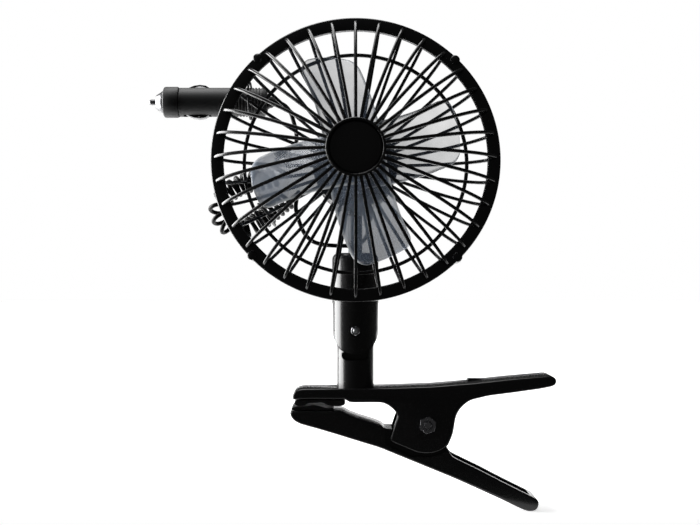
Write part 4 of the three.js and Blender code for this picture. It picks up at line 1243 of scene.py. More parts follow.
@dataclass
class Cord:
    """The curly cord from the pod to the plug, and the ties round its bundle."""

    radius: float = 1.4
    curl: float = 5.8
    pitch: float = 3.7
    per_turn: int = 16
    run_in: float = 6.0
    run_out: float = 3.2
    gap: float = 0.8
    inner_share: float = 0.3
    fine: int = 400
    end_steps: int = 6
    apart: float = 0.3
    length: float = 1.11  # metres: the lead, the curls' wire, the tail and its end inside the plug
    lead: tuple[Point, ...] = (
        (9, -32.6, -50), (9, -37, -50.8), (8, -42, -53), (4.6, -46.2, -54.6), (-1, -48.6, -55),
        (-8, -49.2, -53), (-15, -49.6, -49.4), (-22, -49.6, -44.6), (-28.4, -48.4, -38.6),
        (-33.4, -44.4, -33), (-36.8, -37.4, -29),
    )
    path: tuple[Point, ...] = (
        (-39, -22, -33.2), (-43.4, -20.6, -33), (-53, -28, -31), (-63, -36.4, -28.6), (-72.6, -41.6, -26.8),
        (-81.6, -41, -26.2), (-88, -35, -26), (-89.4, -26.4, -26), (-83, -17.4, -26.2), (-72, -11.4, -27),
        (-60, -8.6, -29.6), (-50.6, -3.6, -32), (-47.2, 4.6, -33), (-47.2, 11.6, -33),
    )
    tail: tuple[Point, ...] = (
        (-39.4, 16.4, -27.8), (-39.6, 24.4, -29.4), (-41.4, 31.8, -30.8), (-43.6, 38, -30.8),
        (-47.6, 42.6, -30.5), (-53, 44.4, -30.4), (-60, 44.5, -30.4), (-70, 44.5, -30.4), (-84, 44.5, -30.4),
    )
    ties: tuple[Tie, ...] = (
        Tie("cord_tie_near", "cord_tie_1", (-58.4, -32.5, -27.6), 8.6, 12.8, 130.0),
        Tie("cord_tie_far", "cord_tie_2", (-65.5, -10.0, -26.6), 8.6, 12.0, 103.0),
        Tie("plug_tie_wire", "plug_tie", (-70.0, 44.2, -25.0), 11.8, 17.4, 90.0, square=1.0),
    )

    def build(self) -> None:
        """Makes the cord as one line, then its ties and its plug, and says how long it is."""
        line = self._line()
        log.info("cord: %.3f m on its middle line", length_of(line) * MM)
        cord = wire("cord", line, self.radius, HEAD, sides=4)
        settle(cord, Body.HEAD, Finish.CORD, ("cord_lead", "cord_curls", "cord_tail"))
        pieces = [*(tie.build() for tie in self.ties), *Plug().build()]
        tuple(HEAD @ Vector(self.lead[0]))

    def _places(self, line: Sequence[Vector]) -> tuple[int, list[float]]:
        """Spreads the curls, wider apart where their middle line bends.

        Args:
            line: the curly stretch's middle line, evenly spaced.

        Returns:
            The number of curls and the place of each step, from 0 to 1.
        """
        step = length_of(line) / (len(line) - 1)
        turned = [0.0]
        for a, b, c in zip(line, line[1:], line[2:] + [2 * line[-1] - line[-2]]):
            bend = (b - a).angle(c - b, 0.0) / step
            inner = max(1 - bend * self.curl, self.inner_share)
            turned.append(turned[-1] + step / max(self.pitch, (2 * self.radius + self.gap) / inner))
        curls = math.floor(turned[-1])
        places, i = [], 0
        for k in range(curls * self.per_turn + 1):
            want = turned[-1] * k / (curls * self.per_turn)
            while i < len(turned) - 2 and turned[i + 1] < want:
                i += 1
            share = (want - turned[i]) / (turned[i + 1] - turned[i])
            places.append(min((i + share) / (len(turned) - 1), 1.0))
        return curls, places

    def _helix(self) -> list[Vector]:
        """Returns the curls' middle line."""
        line = spaced(spline(self.path), self.fine)
        curls, places = self._places(line)
        log.info("cord: %d curls", curls)
        side = Vector((0.0, 0.0, 1.0))
        out = []
        for k, u in enumerate(places):
            i = min(int(u * self.fine), self.fine - 1)
            along = (line[i + 1] - line[i]).normalized()
            centre = line[i].lerp(line[i + 1], u * self.fine - i)
            side = (side - along * side.dot(along)).normalized()
            up = along.cross(side)
            a = math.tau * k / self.per_turn
            out.append(centre + (side * math.cos(a) + up * math.sin(a)) * self.curl)
        return out

    def _line(self) -> list[Vector]:
        """Returns the whole cord's middle line: lead, curls and tail."""
        helix = self._helix()
        arrive = helix[0] + (helix[0] - helix[1]).normalized() * self.run_in
        leave = helix[-1] + (helix[-1] - helix[-2]).normalized() * self.run_out
        lead = spline([*self.lead, tuple(arrive), tuple(helix[0])], self.end_steps)
        tail = spline([tuple(helix[-1]), tuple(leave), *self.tail], self.end_steps)
        return self._even([*lead[:-1], *helix, *tail[1:]])

    def _even(self, line: Sequence[Vector]) -> list[Vector]:
        """Drops points that nearly lie on the one before.

        Args:
            line: the points.

        Returns:
            The points that stay.
        """
        out: list[Vector] = []
        for point in line:
            if not out or (point - out[-1]).length > self.apart:
                out.append(point)
        return out


@dataclass
class Cage:
    """Front and rear grilles, the hub with its bare cap, and the screws of the rim."""

    ribs: int = 36
    rim_in: float = 84.6
    rim_out: float = 93.0
    rim_thick: float = 3.0
    rear_thick: float = 6.0
    split: float = 0.3
    rib_end: float = 89.4
    dome_slack: float = 0.4
    hub: float = 18.8
    hub_deep: float = 4.4
    web_top: float = 3.0
    web_in: float = 4.0
    cap: float = 16.6
    cap_deep: float = 2.7
    height: float = 30.0
    depth: float = 28.0
    rear_bend: float = 2.2
    rear_round: float = 0.45
    hoop: float = 72.7
    hoop_half: float = 1.2
    plate: float = 28.0
    plate_bore: float = 5.3
    plate_thick: float = 3.0
    pod_screw_at: float = 20.5
    motor_screw_at: float = 8.0
    boss: float = 3.1
    boss_at: float = 91.2
    bosses: tuple[float, ...] = (45.0, 134.0, 224.0, 315.0)
    sides: int = 180

    def build(self) -> None:
        """Makes the grilles from front to back."""
        ribs = rib_tree()
        self._front(ribs)
        self._rear(ribs)
        self._screws()

    @staticmethod
    def _rounded(r0: float, r1: float, z0: float, z1: float, edge: float) -> list[tuple[float, float]]:
        """Returns a closed ring section with rounded corners.

        Args:
            r0: inner radius.
            r1: outer radius.
            z0: lower face.
            z1: upper face.
            edge: rounding.

        Returns:
            (radius, height) points, the first again at the end.
        """
        inner, outer, low, high = r0 + edge, r1 - edge, z0 + edge, z1 - edge
        corners = ((inner, low, 180), (outer, low, 270), (outer, high, 0), (inner, high, 90))
        out = [point for r, z, start in corners for point in arc(r, z, edge, start, start + 90, 4)]
        return [*out, out[0]]

    def _seats(self, height: float) -> list[Point]:
        """Returns the bosses' places at a height."""
        return [(*polar(self.boss_at, angle), height) for angle in self.bosses]

    def _front(self, ribs: Tree) -> None:
        """Makes the front grille: rim, ribs, hub ring, the hub's web and cap.

        Args:
            ribs: the tree that makes the ribs.
        """
        rim = Piece("front_rim", HEAD)
        rim.turned(self._rounded(self.rim_in, self.rim_out, -self.rim_thick, 0.0, 1.1), self.sides)
        b = self.boss
        for seat in self._seats(-self.rim_thick):
            rim.turned([(0, 0), (b - 0.3, 0), (b, 0.3), (b, 2.9), (b - 0.5, 3.45), (0, 3.5)], 32, seat)
        rim.done(Body.HEAD, Finish.RIBS, ("front_cage",), angle=50.0)
        ribs.make("front_ribs", HEAD, Body.HEAD, Finish.RIBS, Count=self.ribs, Inner_Radius=self.hub - 1,
                  Outer_Radius=self.rib_end, Full_Radius=self.rib_end + self.dome_slack,
                  Dome_Height=self.height)
        top = self.height
        low, web, middle, edge = top - self.hub_deep, top - self.web_top, self.web_in, self.hub - 1
        hub = Piece("hub_ring", HEAD)
        hub.turned(self._rounded(self.cap + 0.3, self.hub, low, top, 0.8), 120)
        hub.turned([(middle, low), (edge, low), (edge, web), (middle, web), (middle, low)], 96)
        hub.done(Body.HEAD, Finish.RIBS, angle=50.0)
        cap, c = Piece("hub_disc", HEAD), self.cap
        falls = ((c, 1.8), (c - 0.2, 1.3), (c - 0.7, 0.95), (c - 1.6, 0.75), (11, 0.6), (6, 0.52), (0, 0.5))
        face = [(r, top - fall) for r, fall in falls]
        cap.turned([(0, top - self.cap_deep), (c, top - self.cap_deep), *face], 120)
        cap.done(Body.HEAD, Finish.SHELL, ("hub_cap",), angle=60.0)

    def _rear(self, ribs: Tree) -> None:
        """Makes the rear grille: drum, ribs, hoop and plate.

        Args:
            ribs: the tree that makes the ribs.
        """
        top, thick, b, wide = -self.rim_thick - self.split, self.rear_thick, self.boss, self.hoop_half
        dome = self.rib_end + self.dome_slack
        drum = Piece("rear_drum", HEAD)
        drum.turned(self._rounded(self.rim_in + 1.6, self.rim_out - 0.6, top - thick, top, 0.8), self.sides)
        fall = -self.depth * (1 - (self.hoop / dome) ** self.rear_bend) ** self.rear_round
        hoop = self._rounded(self.hoop - wide, self.hoop + wide, fall + 0.2, fall + 2.5, 0.7)
        drum.turned(hoop, self.sides)
        for seat in self._seats(top - thick):
            drum.turned([(0, 0), (b, 0), (b, thick), (0, thick)], 32, seat)
        drum.done(Body.HEAD, Finish.RIBS, ("rear_cage",), angle=50.0)
        ribs.make("rear_ribs", HEAD, Body.HEAD, Finish.RIBS, Count=self.ribs, Inner_Radius=self.plate - 1.5,
                  Outer_Radius=self.rib_end, Full_Radius=dome, Dome_Height=-self.depth,
                  Bend=self.rear_bend, Round_Off=self.rear_round, Sink=-1.3)
        plate, back = Piece("rear_plate", HEAD), -self.depth
        plate.turned(self._rounded(self.plate_bore, self.plate, back, back + self.plate_thick, 0.6), 96)
        plate.done(Body.HEAD, Finish.RIBS, angle=50.0)

    def _screws(self) -> None:
        """Makes the screws at the back of the rim and on the motor's plate."""
        screws = screw_tree()
        rim = self._seats(-self.rim_thick - self.rear_thick - 0.6)
        screws.make("rim_screws", HEAD, Body.HEAD, Finish.STEEL,
                    [f"cage_screw_{i + 1}" for i in range(len(rim))], base=rim, Length=8.6)
        seat, near, far = -self.depth + 3.3, self.motor_screw_at, self.pod_screw_at
        screws.make("motor_plate_screws", HEAD, Body.HEAD, Finish.STEEL,
                    ("motor_screw_1", "motor_screw_2"), base=[(-near, 0, seat), (near, 0, seat)],
                    Facing=1.0, Head_Radius=2.3, Head_Height=1.3, Shank_Radius=1.3, Length=8.0)
        screws.make("pod_screws", HEAD, Body.HEAD, Finish.STEEL, ("pod_screw_1", "pod_screw_2"),
                    base=[(0, -far, seat), (0, far, seat)],
                    Facing=1.0, Head_Radius=2.2, Head_Height=1.3, Shank_Radius=1.2, Length=13.0)


@dataclass
class Impeller:
    """Four clear swept blades on a turned hub."""

    blades: int = 4
    tip: float = 68.5
    chord: float = 38.0
    pitch: float = 22.0
    thick: float = 1.5
    phase: float = 106.5
    corner: float = 7.0
    sweep: float = 10.0
    hub: float = 16.0
    back: float = -13.0
    front: float = 9.0
    bunching: float = 1.7
    twist: tuple[float, float] = (0.78, 0.22)
    set_back: float = 1.0
    camber: float = 1.6
    rows: int = 24
    columns: int = 18

    def build(self) -> None:
        """Makes the blades and the hub as one moulding."""
        piece = Piece("clear_impeller", HEAD)
        edge: list[float] = []
        for i in range(self.blades):
            edge += self._blade(piece, math.radians(self.phase + 360 / self.blades * i))
        before = len(piece.bm.verts)
        f, b, r = self.front, self.back, self.hub
        piece.turned([
            (1.3, b + 4), (4, b + 4), (4, f - 3), (r - 2, f - 3), (r - 2, b), (r, b), (r, f - 3),
            (r - 0.6, f - 1.2), (r - 2, f - 0.2), (r - 3, f), (0, f), (0, f - 3), (1.3, f - 3), (1.3, b + 4),
        ])
        edge += [0.0] * (len(piece.bm.verts) - before)
        # The edge mark tells the blade material where to paint its highlight.
        layer = piece.bm.verts.layers.float.new("edge")
        for vert, mark in zip(piece.bm.verts, edge):
            vert[layer] = mark
        piece.done(Body.ROTOR, Finish.BLADES, ("impeller",), angle=50.0)

    def _blade(self, piece: Piece, turn: float) -> list[float]:
        """Adds one blade.

        Args:
            piece: the piece that it joins.
            turn: its place round the axis, in radians.

        Returns:
            How near each new vertex is to the blade's edge, from 0 to 1.
        """
        points = [
            self._point(i / self.rows, j / self.columns, turn, lift)
            for lift in (-self.thick / 2, self.thick / 2)
            for i in range(self.rows + 1) for j in range(self.columns + 1)
        ]
        marks = 2 * [
            1.0 if i == self.rows or j in (0, self.columns) else 0.0
            for i in range(self.rows + 1) for j in range(self.columns + 1)
        ]
        wide = self.columns + 1
        layer = (self.rows + 1) * wide
        faces = []
        for i in range(self.rows):
            for j in range(self.columns):
                a = i * wide + j
                faces.append((a, a + 1, a + wide + 1, a + wide))
                faces.append((a + layer, a + wide + layer, a + wide + 1 + layer, a + 1 + layer))
        for i in range(self.rows):
            near, far = i * wide, (i + 1) * wide
            for a, b in ((near, far), (far + self.columns, near + self.columns)):
                faces.append((a, b, b + layer, a + layer))
        for j in range(self.columns):
            far = self.rows * wide
            faces.append((j + 1, j, j + layer, j + 1 + layer))
            faces.append((far + j, far + j + 1, far + j + 1 + layer, far + j + layer))
        piece.mesh(points, faces)
        return marks

    def _point(self, row: float, across: float, turn: float, lift: float) -> Point:
        """Returns one point of a blade.

        Args:
            row: its row, 0 at the root and 1 at the tip.
            across: its column, from 0 to 1.
            turn: the blade's place round the axis, in radians.
            lift: its distance from the blade's middle surface.

        Returns:
            The point.
        """
        root = self.hub - 2.0
        u = 1 - (1 - row) ** self.bunching
        near_tip = max(0.0, 1 - (1 - u) * (self.tip - root) / self.corner)
        narrow = self.corner * (1 - math.sqrt(1 - min(near_tip, 1.0) ** 2))
        y = (across - 0.5) * (self.chord - 2 * narrow)
        reach = root + (self.tip - root) * u
        x = math.sqrt(max(reach ** 2 - y ** 2, 1.0))
        rise = (across - 0.5) * self.pitch * (self.twist[0] + self.twist[1] * u)
        depth = rise - self.set_back + self.camber * (1 - (2 * across - 1) ** 2)
        lag = turn - math.radians(self.sweep * (1 - u))
        c, s = math.cos(lag), math.sin(lag)
        return (x * c - y * s, x * s + y * c, depth + lift)


@dataclass
class Carried:
    """CAD pieces that keep their shape and get rounded edges and a finish."""

    name: str
    node: str
    body: Body
    finish: Finish
    bevel: float = 0.3
    angle: float = 32.0

    def build(self) -> bpy.types.Object:
        """Copies the node, rounds its edges, dresses it and returns it."""
        piece = Piece(self.name).copy_of(self.node)
        return piece.done(self.body, self.finish, (self.node,), self.angle, self.bevel, 3, tidy=False)


@dataclass
class Clamp:
    """Both levers with their pads, the post, the pivot and the spring."""

    half: float = 15.0
    cheek: float = 12.5
    lug: float = 12.2
    well: float = 9.7
    pivot: Point = (47.6, 0.0, -14.5)
    post: float = 12.5
    edge: float = 1.6
    tilt: float = 47.5
    neck: float = 15.5
    lap: float = 0.8
    sharp: float = 40.0
    pad_inset: float = 0.6
    groove_wall: float = 4.0
    bore: float = 3.35
    tilt_bore: float = 1.85
    tilt_sink: tuple[float, float] = (3.2, 2.6)
    bolt: float = 3.0
    bolt_end: float = 2.2
    bolt_gap: float = 0.3
    bolt_proud: float = 1.1
    nut: float = 4.0
    nut_flats: float = 10.0
    nut_bore: float = 3.12
    nut_turn: float = 20.5
    head: Profile = ((0, 0), (5, 0), (5, 1.2), (4.4, 2.4), (3.2, 2.9), (0, 2.9))
    socket: tuple[float, float] = (1.1, 4.0)
    coil: float = 6.1
    coil_reach: float = 7.2
    coil_turns: int = 5
    coil_steps: int = 240
    spring_wire: float = 0.9
    legs: tuple[tuple[float, float], ...] = ((36.0, 26.6), (-52.0, 33.4))
    leg_gap: float = 1.85
    tab: tuple[Point, Point] = ((75.7, 3, 12), (84.9, 9, 14.2))
    upper: Profile = (
        (-36, 9), (-40.2, 7.6), (-41.9, 4.6), (-41.2, 1.6), (-38.5, 2.2), (-6.5, 2.2), (-4.2, 0),
        (17.6, 0), (21.5, -1.6), (24.8, -4.2), (27.4, -7.2), (27.9, -9.3), (26.8, -12.1), (22.4, -25.4),
        (40.8, -33.3), *arc(47.6, -14.5, 19.4, 262, 316, 12), (64.5, -21), (65.4, -16), (65.9, -12),
        (67.2, -7.4), (70.4, -2.8),
        (75.7, 1.4), (88.2, 4.4), (104.1, 6.4), (122.6, 9), (131.4, 10.8), (133.2, 13.2), (132.6, 16),
        (129.5, 17.8), (99.9, 15.2), (79.3, 12.9), (49.9, 10.5), (14, 9.4),
    )
    inside: Profile = ((19.5, -40), (19.5, -2.5), (25, 3), (34, 6), (66, 7.6), (73, 6.5), (70, -2), (70, -40))
    groove: Profile = ((73.5, -2), (73.5, 6.6), (86, 8.8), (124, 13.2), (127, 12), (126, 6), (90, 2))
    lower: Profile = (
        (-43.8, -6.8), (-41.5, -5.4), (-13.5, -5.3), (-8.2, -5.6), (-4.2, -8.1), (3, -10.8), (11, -13.2),
        (17.9, -15.7), (19.4, -17.6), (36, -17.6), *arc(47.6, -14.5, 8.5, 196, 0, 24), (57.5, -24),
        (62.6, -33.5), (64.6, -36.4), (84.3, -45.9), (99, -53.6), (112, -60), (121.3, -64.6),
        (121.4, -68.4), (119.3, -71.6), (114, -72.2), (108.1, -69.6), (96.2, -63.9), (80.3, -56.7),
        (64.5, -49.7), (48.3, -43.1), (32.1, -36.5), (15.9, -29.9), (0.7, -25.3), (-14.1, -20.7),
        (-25.4, -17.4), (-37.3, -14.1), (-41.6, -11.4),
    )
    channel: Profile = (
        (24, 0), (24, -30.5), (32.1, -33.5), (48.3, -40.1), (64.5, -46.7), (80.3, -53.7), (96.2, -60.9),
        (108, -66.4), (115.5, -67.4), (116.5, -56), (100, -40), (66, 0),
    )
    room: Profile = (
        (19.64, 0), (19.64, -27), (24, -30), (38, -36.2), *arc(47.6, -14.5, 21.6, 256, 318, 16),
        (69.2, -26), (72, 0),
    )
    notch: Profile = ((-9.2, 33), (-9.2, 29.6), (-7.4, 27.4), (7.2, 27.4), (8.8, 29.6), (8.8, 33))
    top_pad: Profile = (
        (-38, 1.9), (-40.6, 0.6), (-40.2, -1.6), (-37.5, -2.5), (-33.4, -1.9), (-31.6, -0.6), (-21.4, 0),
        (-19.4, -1.5), (-15.5, -2.5), (-10.2, -2.5), (-6.6, -1.7), (-7, 1.9),
    )
    bottom_pad: Profile = (
        (-41.2, -5), (-42.9, -4.2), (-41, -2.9), (-36.6, -2.8), (-31.8, -2.5), (-28, -1.7), (-23.6, -2.2),
        (-19.5, -3.6), (-15, -3.2), (-13.6, -5),
    )

    def build(self) -> None:
        """Makes the clamp from the top down."""
        levers = (("clamp_top", self._upper(), Body.CLAMP, "upper_lever"),
                  ("clamp_bottom", self._lower(), Body.LOWER, "lower_lever"))
        for name, solid, body, node in levers:
            Piece(name).take(solid).done(body, Finish.SHELL, (node,), self.sharp, 0.8, 3)
        wide = self.half - self.pad_inset
        pads = (("top_pad", self.top_pad, Body.CLAMP, "upper_jaw_pad"),
                ("bottom_pad", self.bottom_pad, Body.LOWER, "lower_jaw_pad"))
        for name, outline, body, node in pads:
            Piece(name).slab(eased(outline, 2.0), -wide, wide).done(
                body, Finish.PAD, (node,), self.sharp, 0.7, 3)
        Piece("pivot_screw").take(self._bolt()).done(
            Body.CLAMP, Finish.NUT, ("pivot_bolt",), self.sharp, 0.2)
        face = -self.half - self.bolt_gap
        nut = hex_nut(self.nut_flats, face - self.nut, face, self.nut_bore, self.pivot, self.nut_turn)
        Piece("pivot_hex").take(nut).done(Body.CLAMP, Finish.NUT, ("pivot_nut",), 25.0, 0.35)
        coil, leg = self._spring()
        runs = (("clamp_spring_wire", coil, Body.CLAMP, ("clamp_spring",)),
                ("clamp_spring_leg", leg, Body.LOWER, ()))
        for name, line, body, nodes in runs:
            made = as_mesh(wire(name, line, self.spring_wire, FAN, sides=4))
            settle(made, body, Finish.STEEL, nodes)

    def _upper(self) -> Solid:
        """Returns the upper lever with the post that carries the neck."""
        h = self.half
        body = Solid.pillow(eased(self.upper), -h, h, self.edge).cut(
            Solid.slab(self.inside, -self.cheek, self.cheek),
            Solid.slab(self.groove, self.groove_wall - h, h - self.groove_wall),
            Solid.rod(self.bore, -h - 2, h + 2, Axis.Y, self.pivot),
        )
        return body + self._post() + Solid.box(*self.tab)

    def _post(self) -> Solid:
        """Returns the post with its round tongue, cut for the neck's foot and the tilt bolt."""
        p, tilt = self.post, (0.0, 0.0, self.tilt)
        sink, deep = self.tilt_sink
        tongue = Solid.rod(p, -p, p, Axis.Y, tilt) & Solid.rod(p - 0.001, self.tilt - 0.2, self.tilt + p)
        return (Solid.rod(p, 8.8, self.tilt) + tongue).cut(
            Solid.rod(self.neck + self.lap, -p - 2, self.lap, Axis.Y, tilt),
            Solid.slab(eased(self.notch, 1.6), -p - 2, -3),
            Solid.rod(self.tilt_bore, -p, p + 2, Axis.Y, tilt, sides=48),
            Solid.rod(sink, p - deep, p + 2, Axis.Y, tilt, sides=48),
        )

    def _lower(self) -> Solid:
        """Returns the lower lever with its channel and lugs."""
        h = self.half
        return Solid.pillow(eased(self.lower), -h, h, self.edge).cut(
            Solid.slab(self.room, self.lug, h + 2),
            Solid.slab(self.room, -h - 2, -self.lug),
            Solid.slab(self.channel, -self.well, self.well),
            Solid.rod(self.bore, -h, h, Axis.Y, self.pivot),
        )

    def _bolt(self) -> Solid:
        """Returns the cross bolt, which stands out of its nut and has a socket in its head."""
        seat = self.half + self.bolt_gap
        depth, end = self.socket
        shank = Solid.rod(self.bolt, 1.5 - seat - self.nut - self.bolt_proud, seat + 1, Axis.Y, self.pivot)
        tip = Solid.rod(self.bolt_end, -seat - self.nut - self.bolt_proud,
                        1.6 - seat - self.nut - self.bolt_proud, Axis.Y, self.pivot, self.bolt)
        head = Solid.lathe([(r, seat + y) for r, y in self.head], Axis.Y, self.pivot)
        socket = Solid.rod(self.bolt, seat + depth, seat + end, Axis.Y, self.pivot, sides=6)
        return shank + tip + head - socket

    def _spring(self) -> tuple[list[Vector], list[Vector]]:
        """Returns the torsion spring's coil with its upper leg, and its lower leg, which swings."""
        x, _, z = self.pivot
        (upper, upper_long), (lower, lower_long) = self.legs
        start, end = math.radians(upper), math.radians(lower) + math.tau * self.coil_turns
        turns = []
        for i in range(self.coil_steps + 1):
            a = start + math.pi / 2 + (end - start - math.pi) * i / self.coil_steps
            y = self.coil_reach * (2 * i / self.coil_steps - 1)
            turns.append(Vector((x + self.coil * math.cos(a), y, z + self.coil * math.sin(a))))
        up = turns[0] + Vector((math.cos(start), 0, math.sin(start))) * upper_long
        beside = turns[-1] + Vector((0, self.leg_gap, 0))
        down = beside + Vector((math.cos(end), 0, math.sin(end))) * lower_long
        return [up, *turns], [beside, down]


def hex_nut(flats: float, y0: float, y1: float, bore: float, at: Point, turn: float) -> Solid:
    """Makes a hex nut along Y with its corners turned down at both faces.

    Args:
        flats: its width across the flats.
        y0: its front face.
        y1: its back face.
        bore: its hole's radius.
        at: its middle.
        turn: its turn about Y, in degrees.

    Returns:
        The nut.
    """
    wide, touch, crown = flats / math.sqrt(3), flats / 2 - 0.1, 0.5
    outline = [(at[0] + x, at[2] + z) for x, z in arc(0, 0, wide, turn, turn + 360, 6)[:-1]]
    turned = Solid.lathe([(0, y0), (touch, y0), (wide + 0.05, y0 + crown), (wide + 0.05, y1 - crown),
                          (touch, y1), (0, y1)], Axis.Y, at)
    return (Solid.slab(outline, y0, y1) & turned) - Solid.rod(bore, y0 - 1, y1 + 1, Axis.Y, at, sides=64)


@dataclass
class Neck:
    """The neck's barrel with its round foot, and the tilt bolt."""

    radius: float = 15.5
    wall: float = 3.0
    tilt: float = 47.5
    top: float = 99.0
    shoulder: float = 4.5
    guide: float = 82.0
    lap: float = 0.8
    clearance: float = 0.8
    stem_bore: float = 4.95
    washer_bore: float = 7.35
    washer_floor: float = 95.5
    bolt_bore: float = 1.85
    nut_bore: float = 4.0
    nut_flats: float = 5.5
    nut_high: float = 2.4
    nut_seat: float = 1.3
    back_seat: float = 10.2
    slot_half: float = 0.35

    def build(self) -> None:
        """Makes the neck, its bolt and its nut."""
        tilt = (0.0, 0.0, self.tilt)
        Piece("neck_tube").take(self._tube(tilt)).done(
            Body.NECK, Finish.SHELL, ("neck_body",), 40.0, 0.35, 3)
        seat = self.nut_seat - self.radius
        nut = hex_nut(self.nut_flats, seat - self.nut_high, seat, 1.62, tilt, 30.0)
        Piece("tilt_hex").take(nut).done(Body.NECK, Finish.NUT, ("tilt_nut",), 25.0, 0.2)
        back = self.back_seat
        shank = Solid.lathe([(0, seat - 3), (1.1, seat - 3), (1.5, seat - 2.5), (1.5, back), (2.75, back),
                             (2.75, back + 1.4), (2.2, back + 2), (0, back + 2)], Axis.Y, tilt, 64)
        slot = Solid.box((-3, back + 1.2, self.tilt - self.slot_half),
                         (3, back + 3, self.tilt + self.slot_half))
        Piece("tilt_screw").take(shank - slot).done(Body.NECK, Finish.STEEL, ("tilt_bolt",), 30.0, 0.1)

    def _tube(self, tilt: Point) -> Solid:
        """Returns the barrel with its round foot, lapped, hollow and bored for bolt and nut.

        Args:
            tilt: the middle of the tilt joint.

        Returns:
            The neck.
        """
        r, round_off = self.radius, self.shoulder
        bend = arc(r - round_off, self.top - round_off, round_off, 0, 90, 8)
        barrel = Solid.lathe([(0, self.tilt), (r, self.tilt), *bend, (0, self.top)])
        foot = Solid.rod(r, -r, r, Axis.Y, tilt) & Solid.rod(r - 0.001, self.tilt - r, self.tilt + 0.2)
        ceiling = self.tilt + r + self.clearance
        return (barrel + foot).cut(
            Solid.box((-r - 2, -self.lap, self.tilt - r - 2), (r + 2, r + 2, ceiling)),
            Solid.rod(r - self.wall, ceiling - 0.6, self.guide),
            Solid.rod(self.stem_bore, self.guide - 2, self.top),
            Solid.rod(self.washer_bore, self.washer_floor, self.top + 2),
            Solid.rod(self.bolt_bore, -r - 2, 2, Axis.Y, tilt, sides=48),
            Solid.rod(self.nut_bore, -r - 2, 1.6 - r, Axis.Y, tilt, sides=48),
        )


@dataclass
class Pod:
    """The motor's pod with its stem, the switch in its back and the cord's sleeve."""

    radius: float = 26.5
    wall: float = 2.2
    front: float = -28.3
    back: float = -66.0
    gland: Point = (9.0, 0.0, -50.0)
    gland_bore: float = 3.25
    switch: tuple[float, float] = (6.5, 4.25)
    screw_at: float = 20.5
    dome: Profile = ((0, 0), (13, 0), (17, 0.5), (20, 1.6), (22.6, 3.3), (24.4, 5.4), (25.8, 8))
    vault: Profile = ((22.4, 7.2), (18.6, 4))
    stem: Profile = (
        (1.7, 82.1), (4.6, 82.1), (4.6, 95.8), (7, 95.8), (7, 98.3), (6.6, 98.7), (4.6, 98.7),
        (4.6, 123.6), (5.8, 125), (5.8, 137), (0, 137), (0, 94), (1.7, 94), (1.7, 82.1),
    )

    def build(self) -> None:
        """Makes the pod's shell, its stem and what is mounted in it."""
        r, f, b, inner = self.radius, self.front, self.back, self.radius - self.wall
        outer = [*((x, b + up) for x, up in self.dome), (r, b + 11), (r, f)]
        hollow = [(inner, f), (inner, b + 12), *((x, b + up) for x, up in self.vault),
                  (12, b + self.wall), (0, b + self.wall)]
        wide, deep = self.switch
        shell = Solid.lathe([*outer, *hollow], sides=128).cut(
            Solid.box((-wide, -deep, b - 2), (wide, deep, b + 6)),
            Solid.rod(self.gland_bore, -r - 2, 8 - r, Axis.Y, self.gland, sides=48),
        )
        Piece("motor_pod", HEAD).take(shell).done(Body.HEAD, Finish.SHELL, ("pod_housing",), 40.0, 0.3)
        posts = Piece("pod_posts", HEAD)
        for y in (-self.screw_at, self.screw_at):
            posts.turned([(1.3, b + 24), (3.4, b + 24), (3.4, f), (1.3, f), (1.3, b + 24)], 48, (0, y, 0))
        posts.turned([(14.1, f - 26), (15.4, f - 26), (15.4, f - 10), (14.1, f - 10), (14.1, f - 26)], 96)
        posts.done(Body.HEAD, Finish.DULL, angle=40.0)
        Piece("head_stem").turned(self.stem, 96).done(Body.HEAD, Finish.SHELL, angle=40.0)
        Carried("switch_frame", "switch_body", Body.HEAD, Finish.DULL, 0.3).build()
        Carried("switch_key", "switch_rocker", Body.ROCKER, Finish.DULL, 0.4).build()
        sleeve = [(1.75, 6 - r), (2.9, 6 - r), (2.9, -0.2 - r), (4.4, -0.3 - r), (4.4, -1.6 - r),
                  (3.9, -2.3 - r), (2.9, -2.6 - r), (2.4, -32.0), (2.0, -32.3), (1.75, -32.3), (1.75, 6 - r)]
        Piece("gland_sleeve", HEAD).turned(sleeve, 64, self.gland, Axis.Y).done(
            Body.HEAD, Finish.PAD, ("cord_gland",), 40.0)


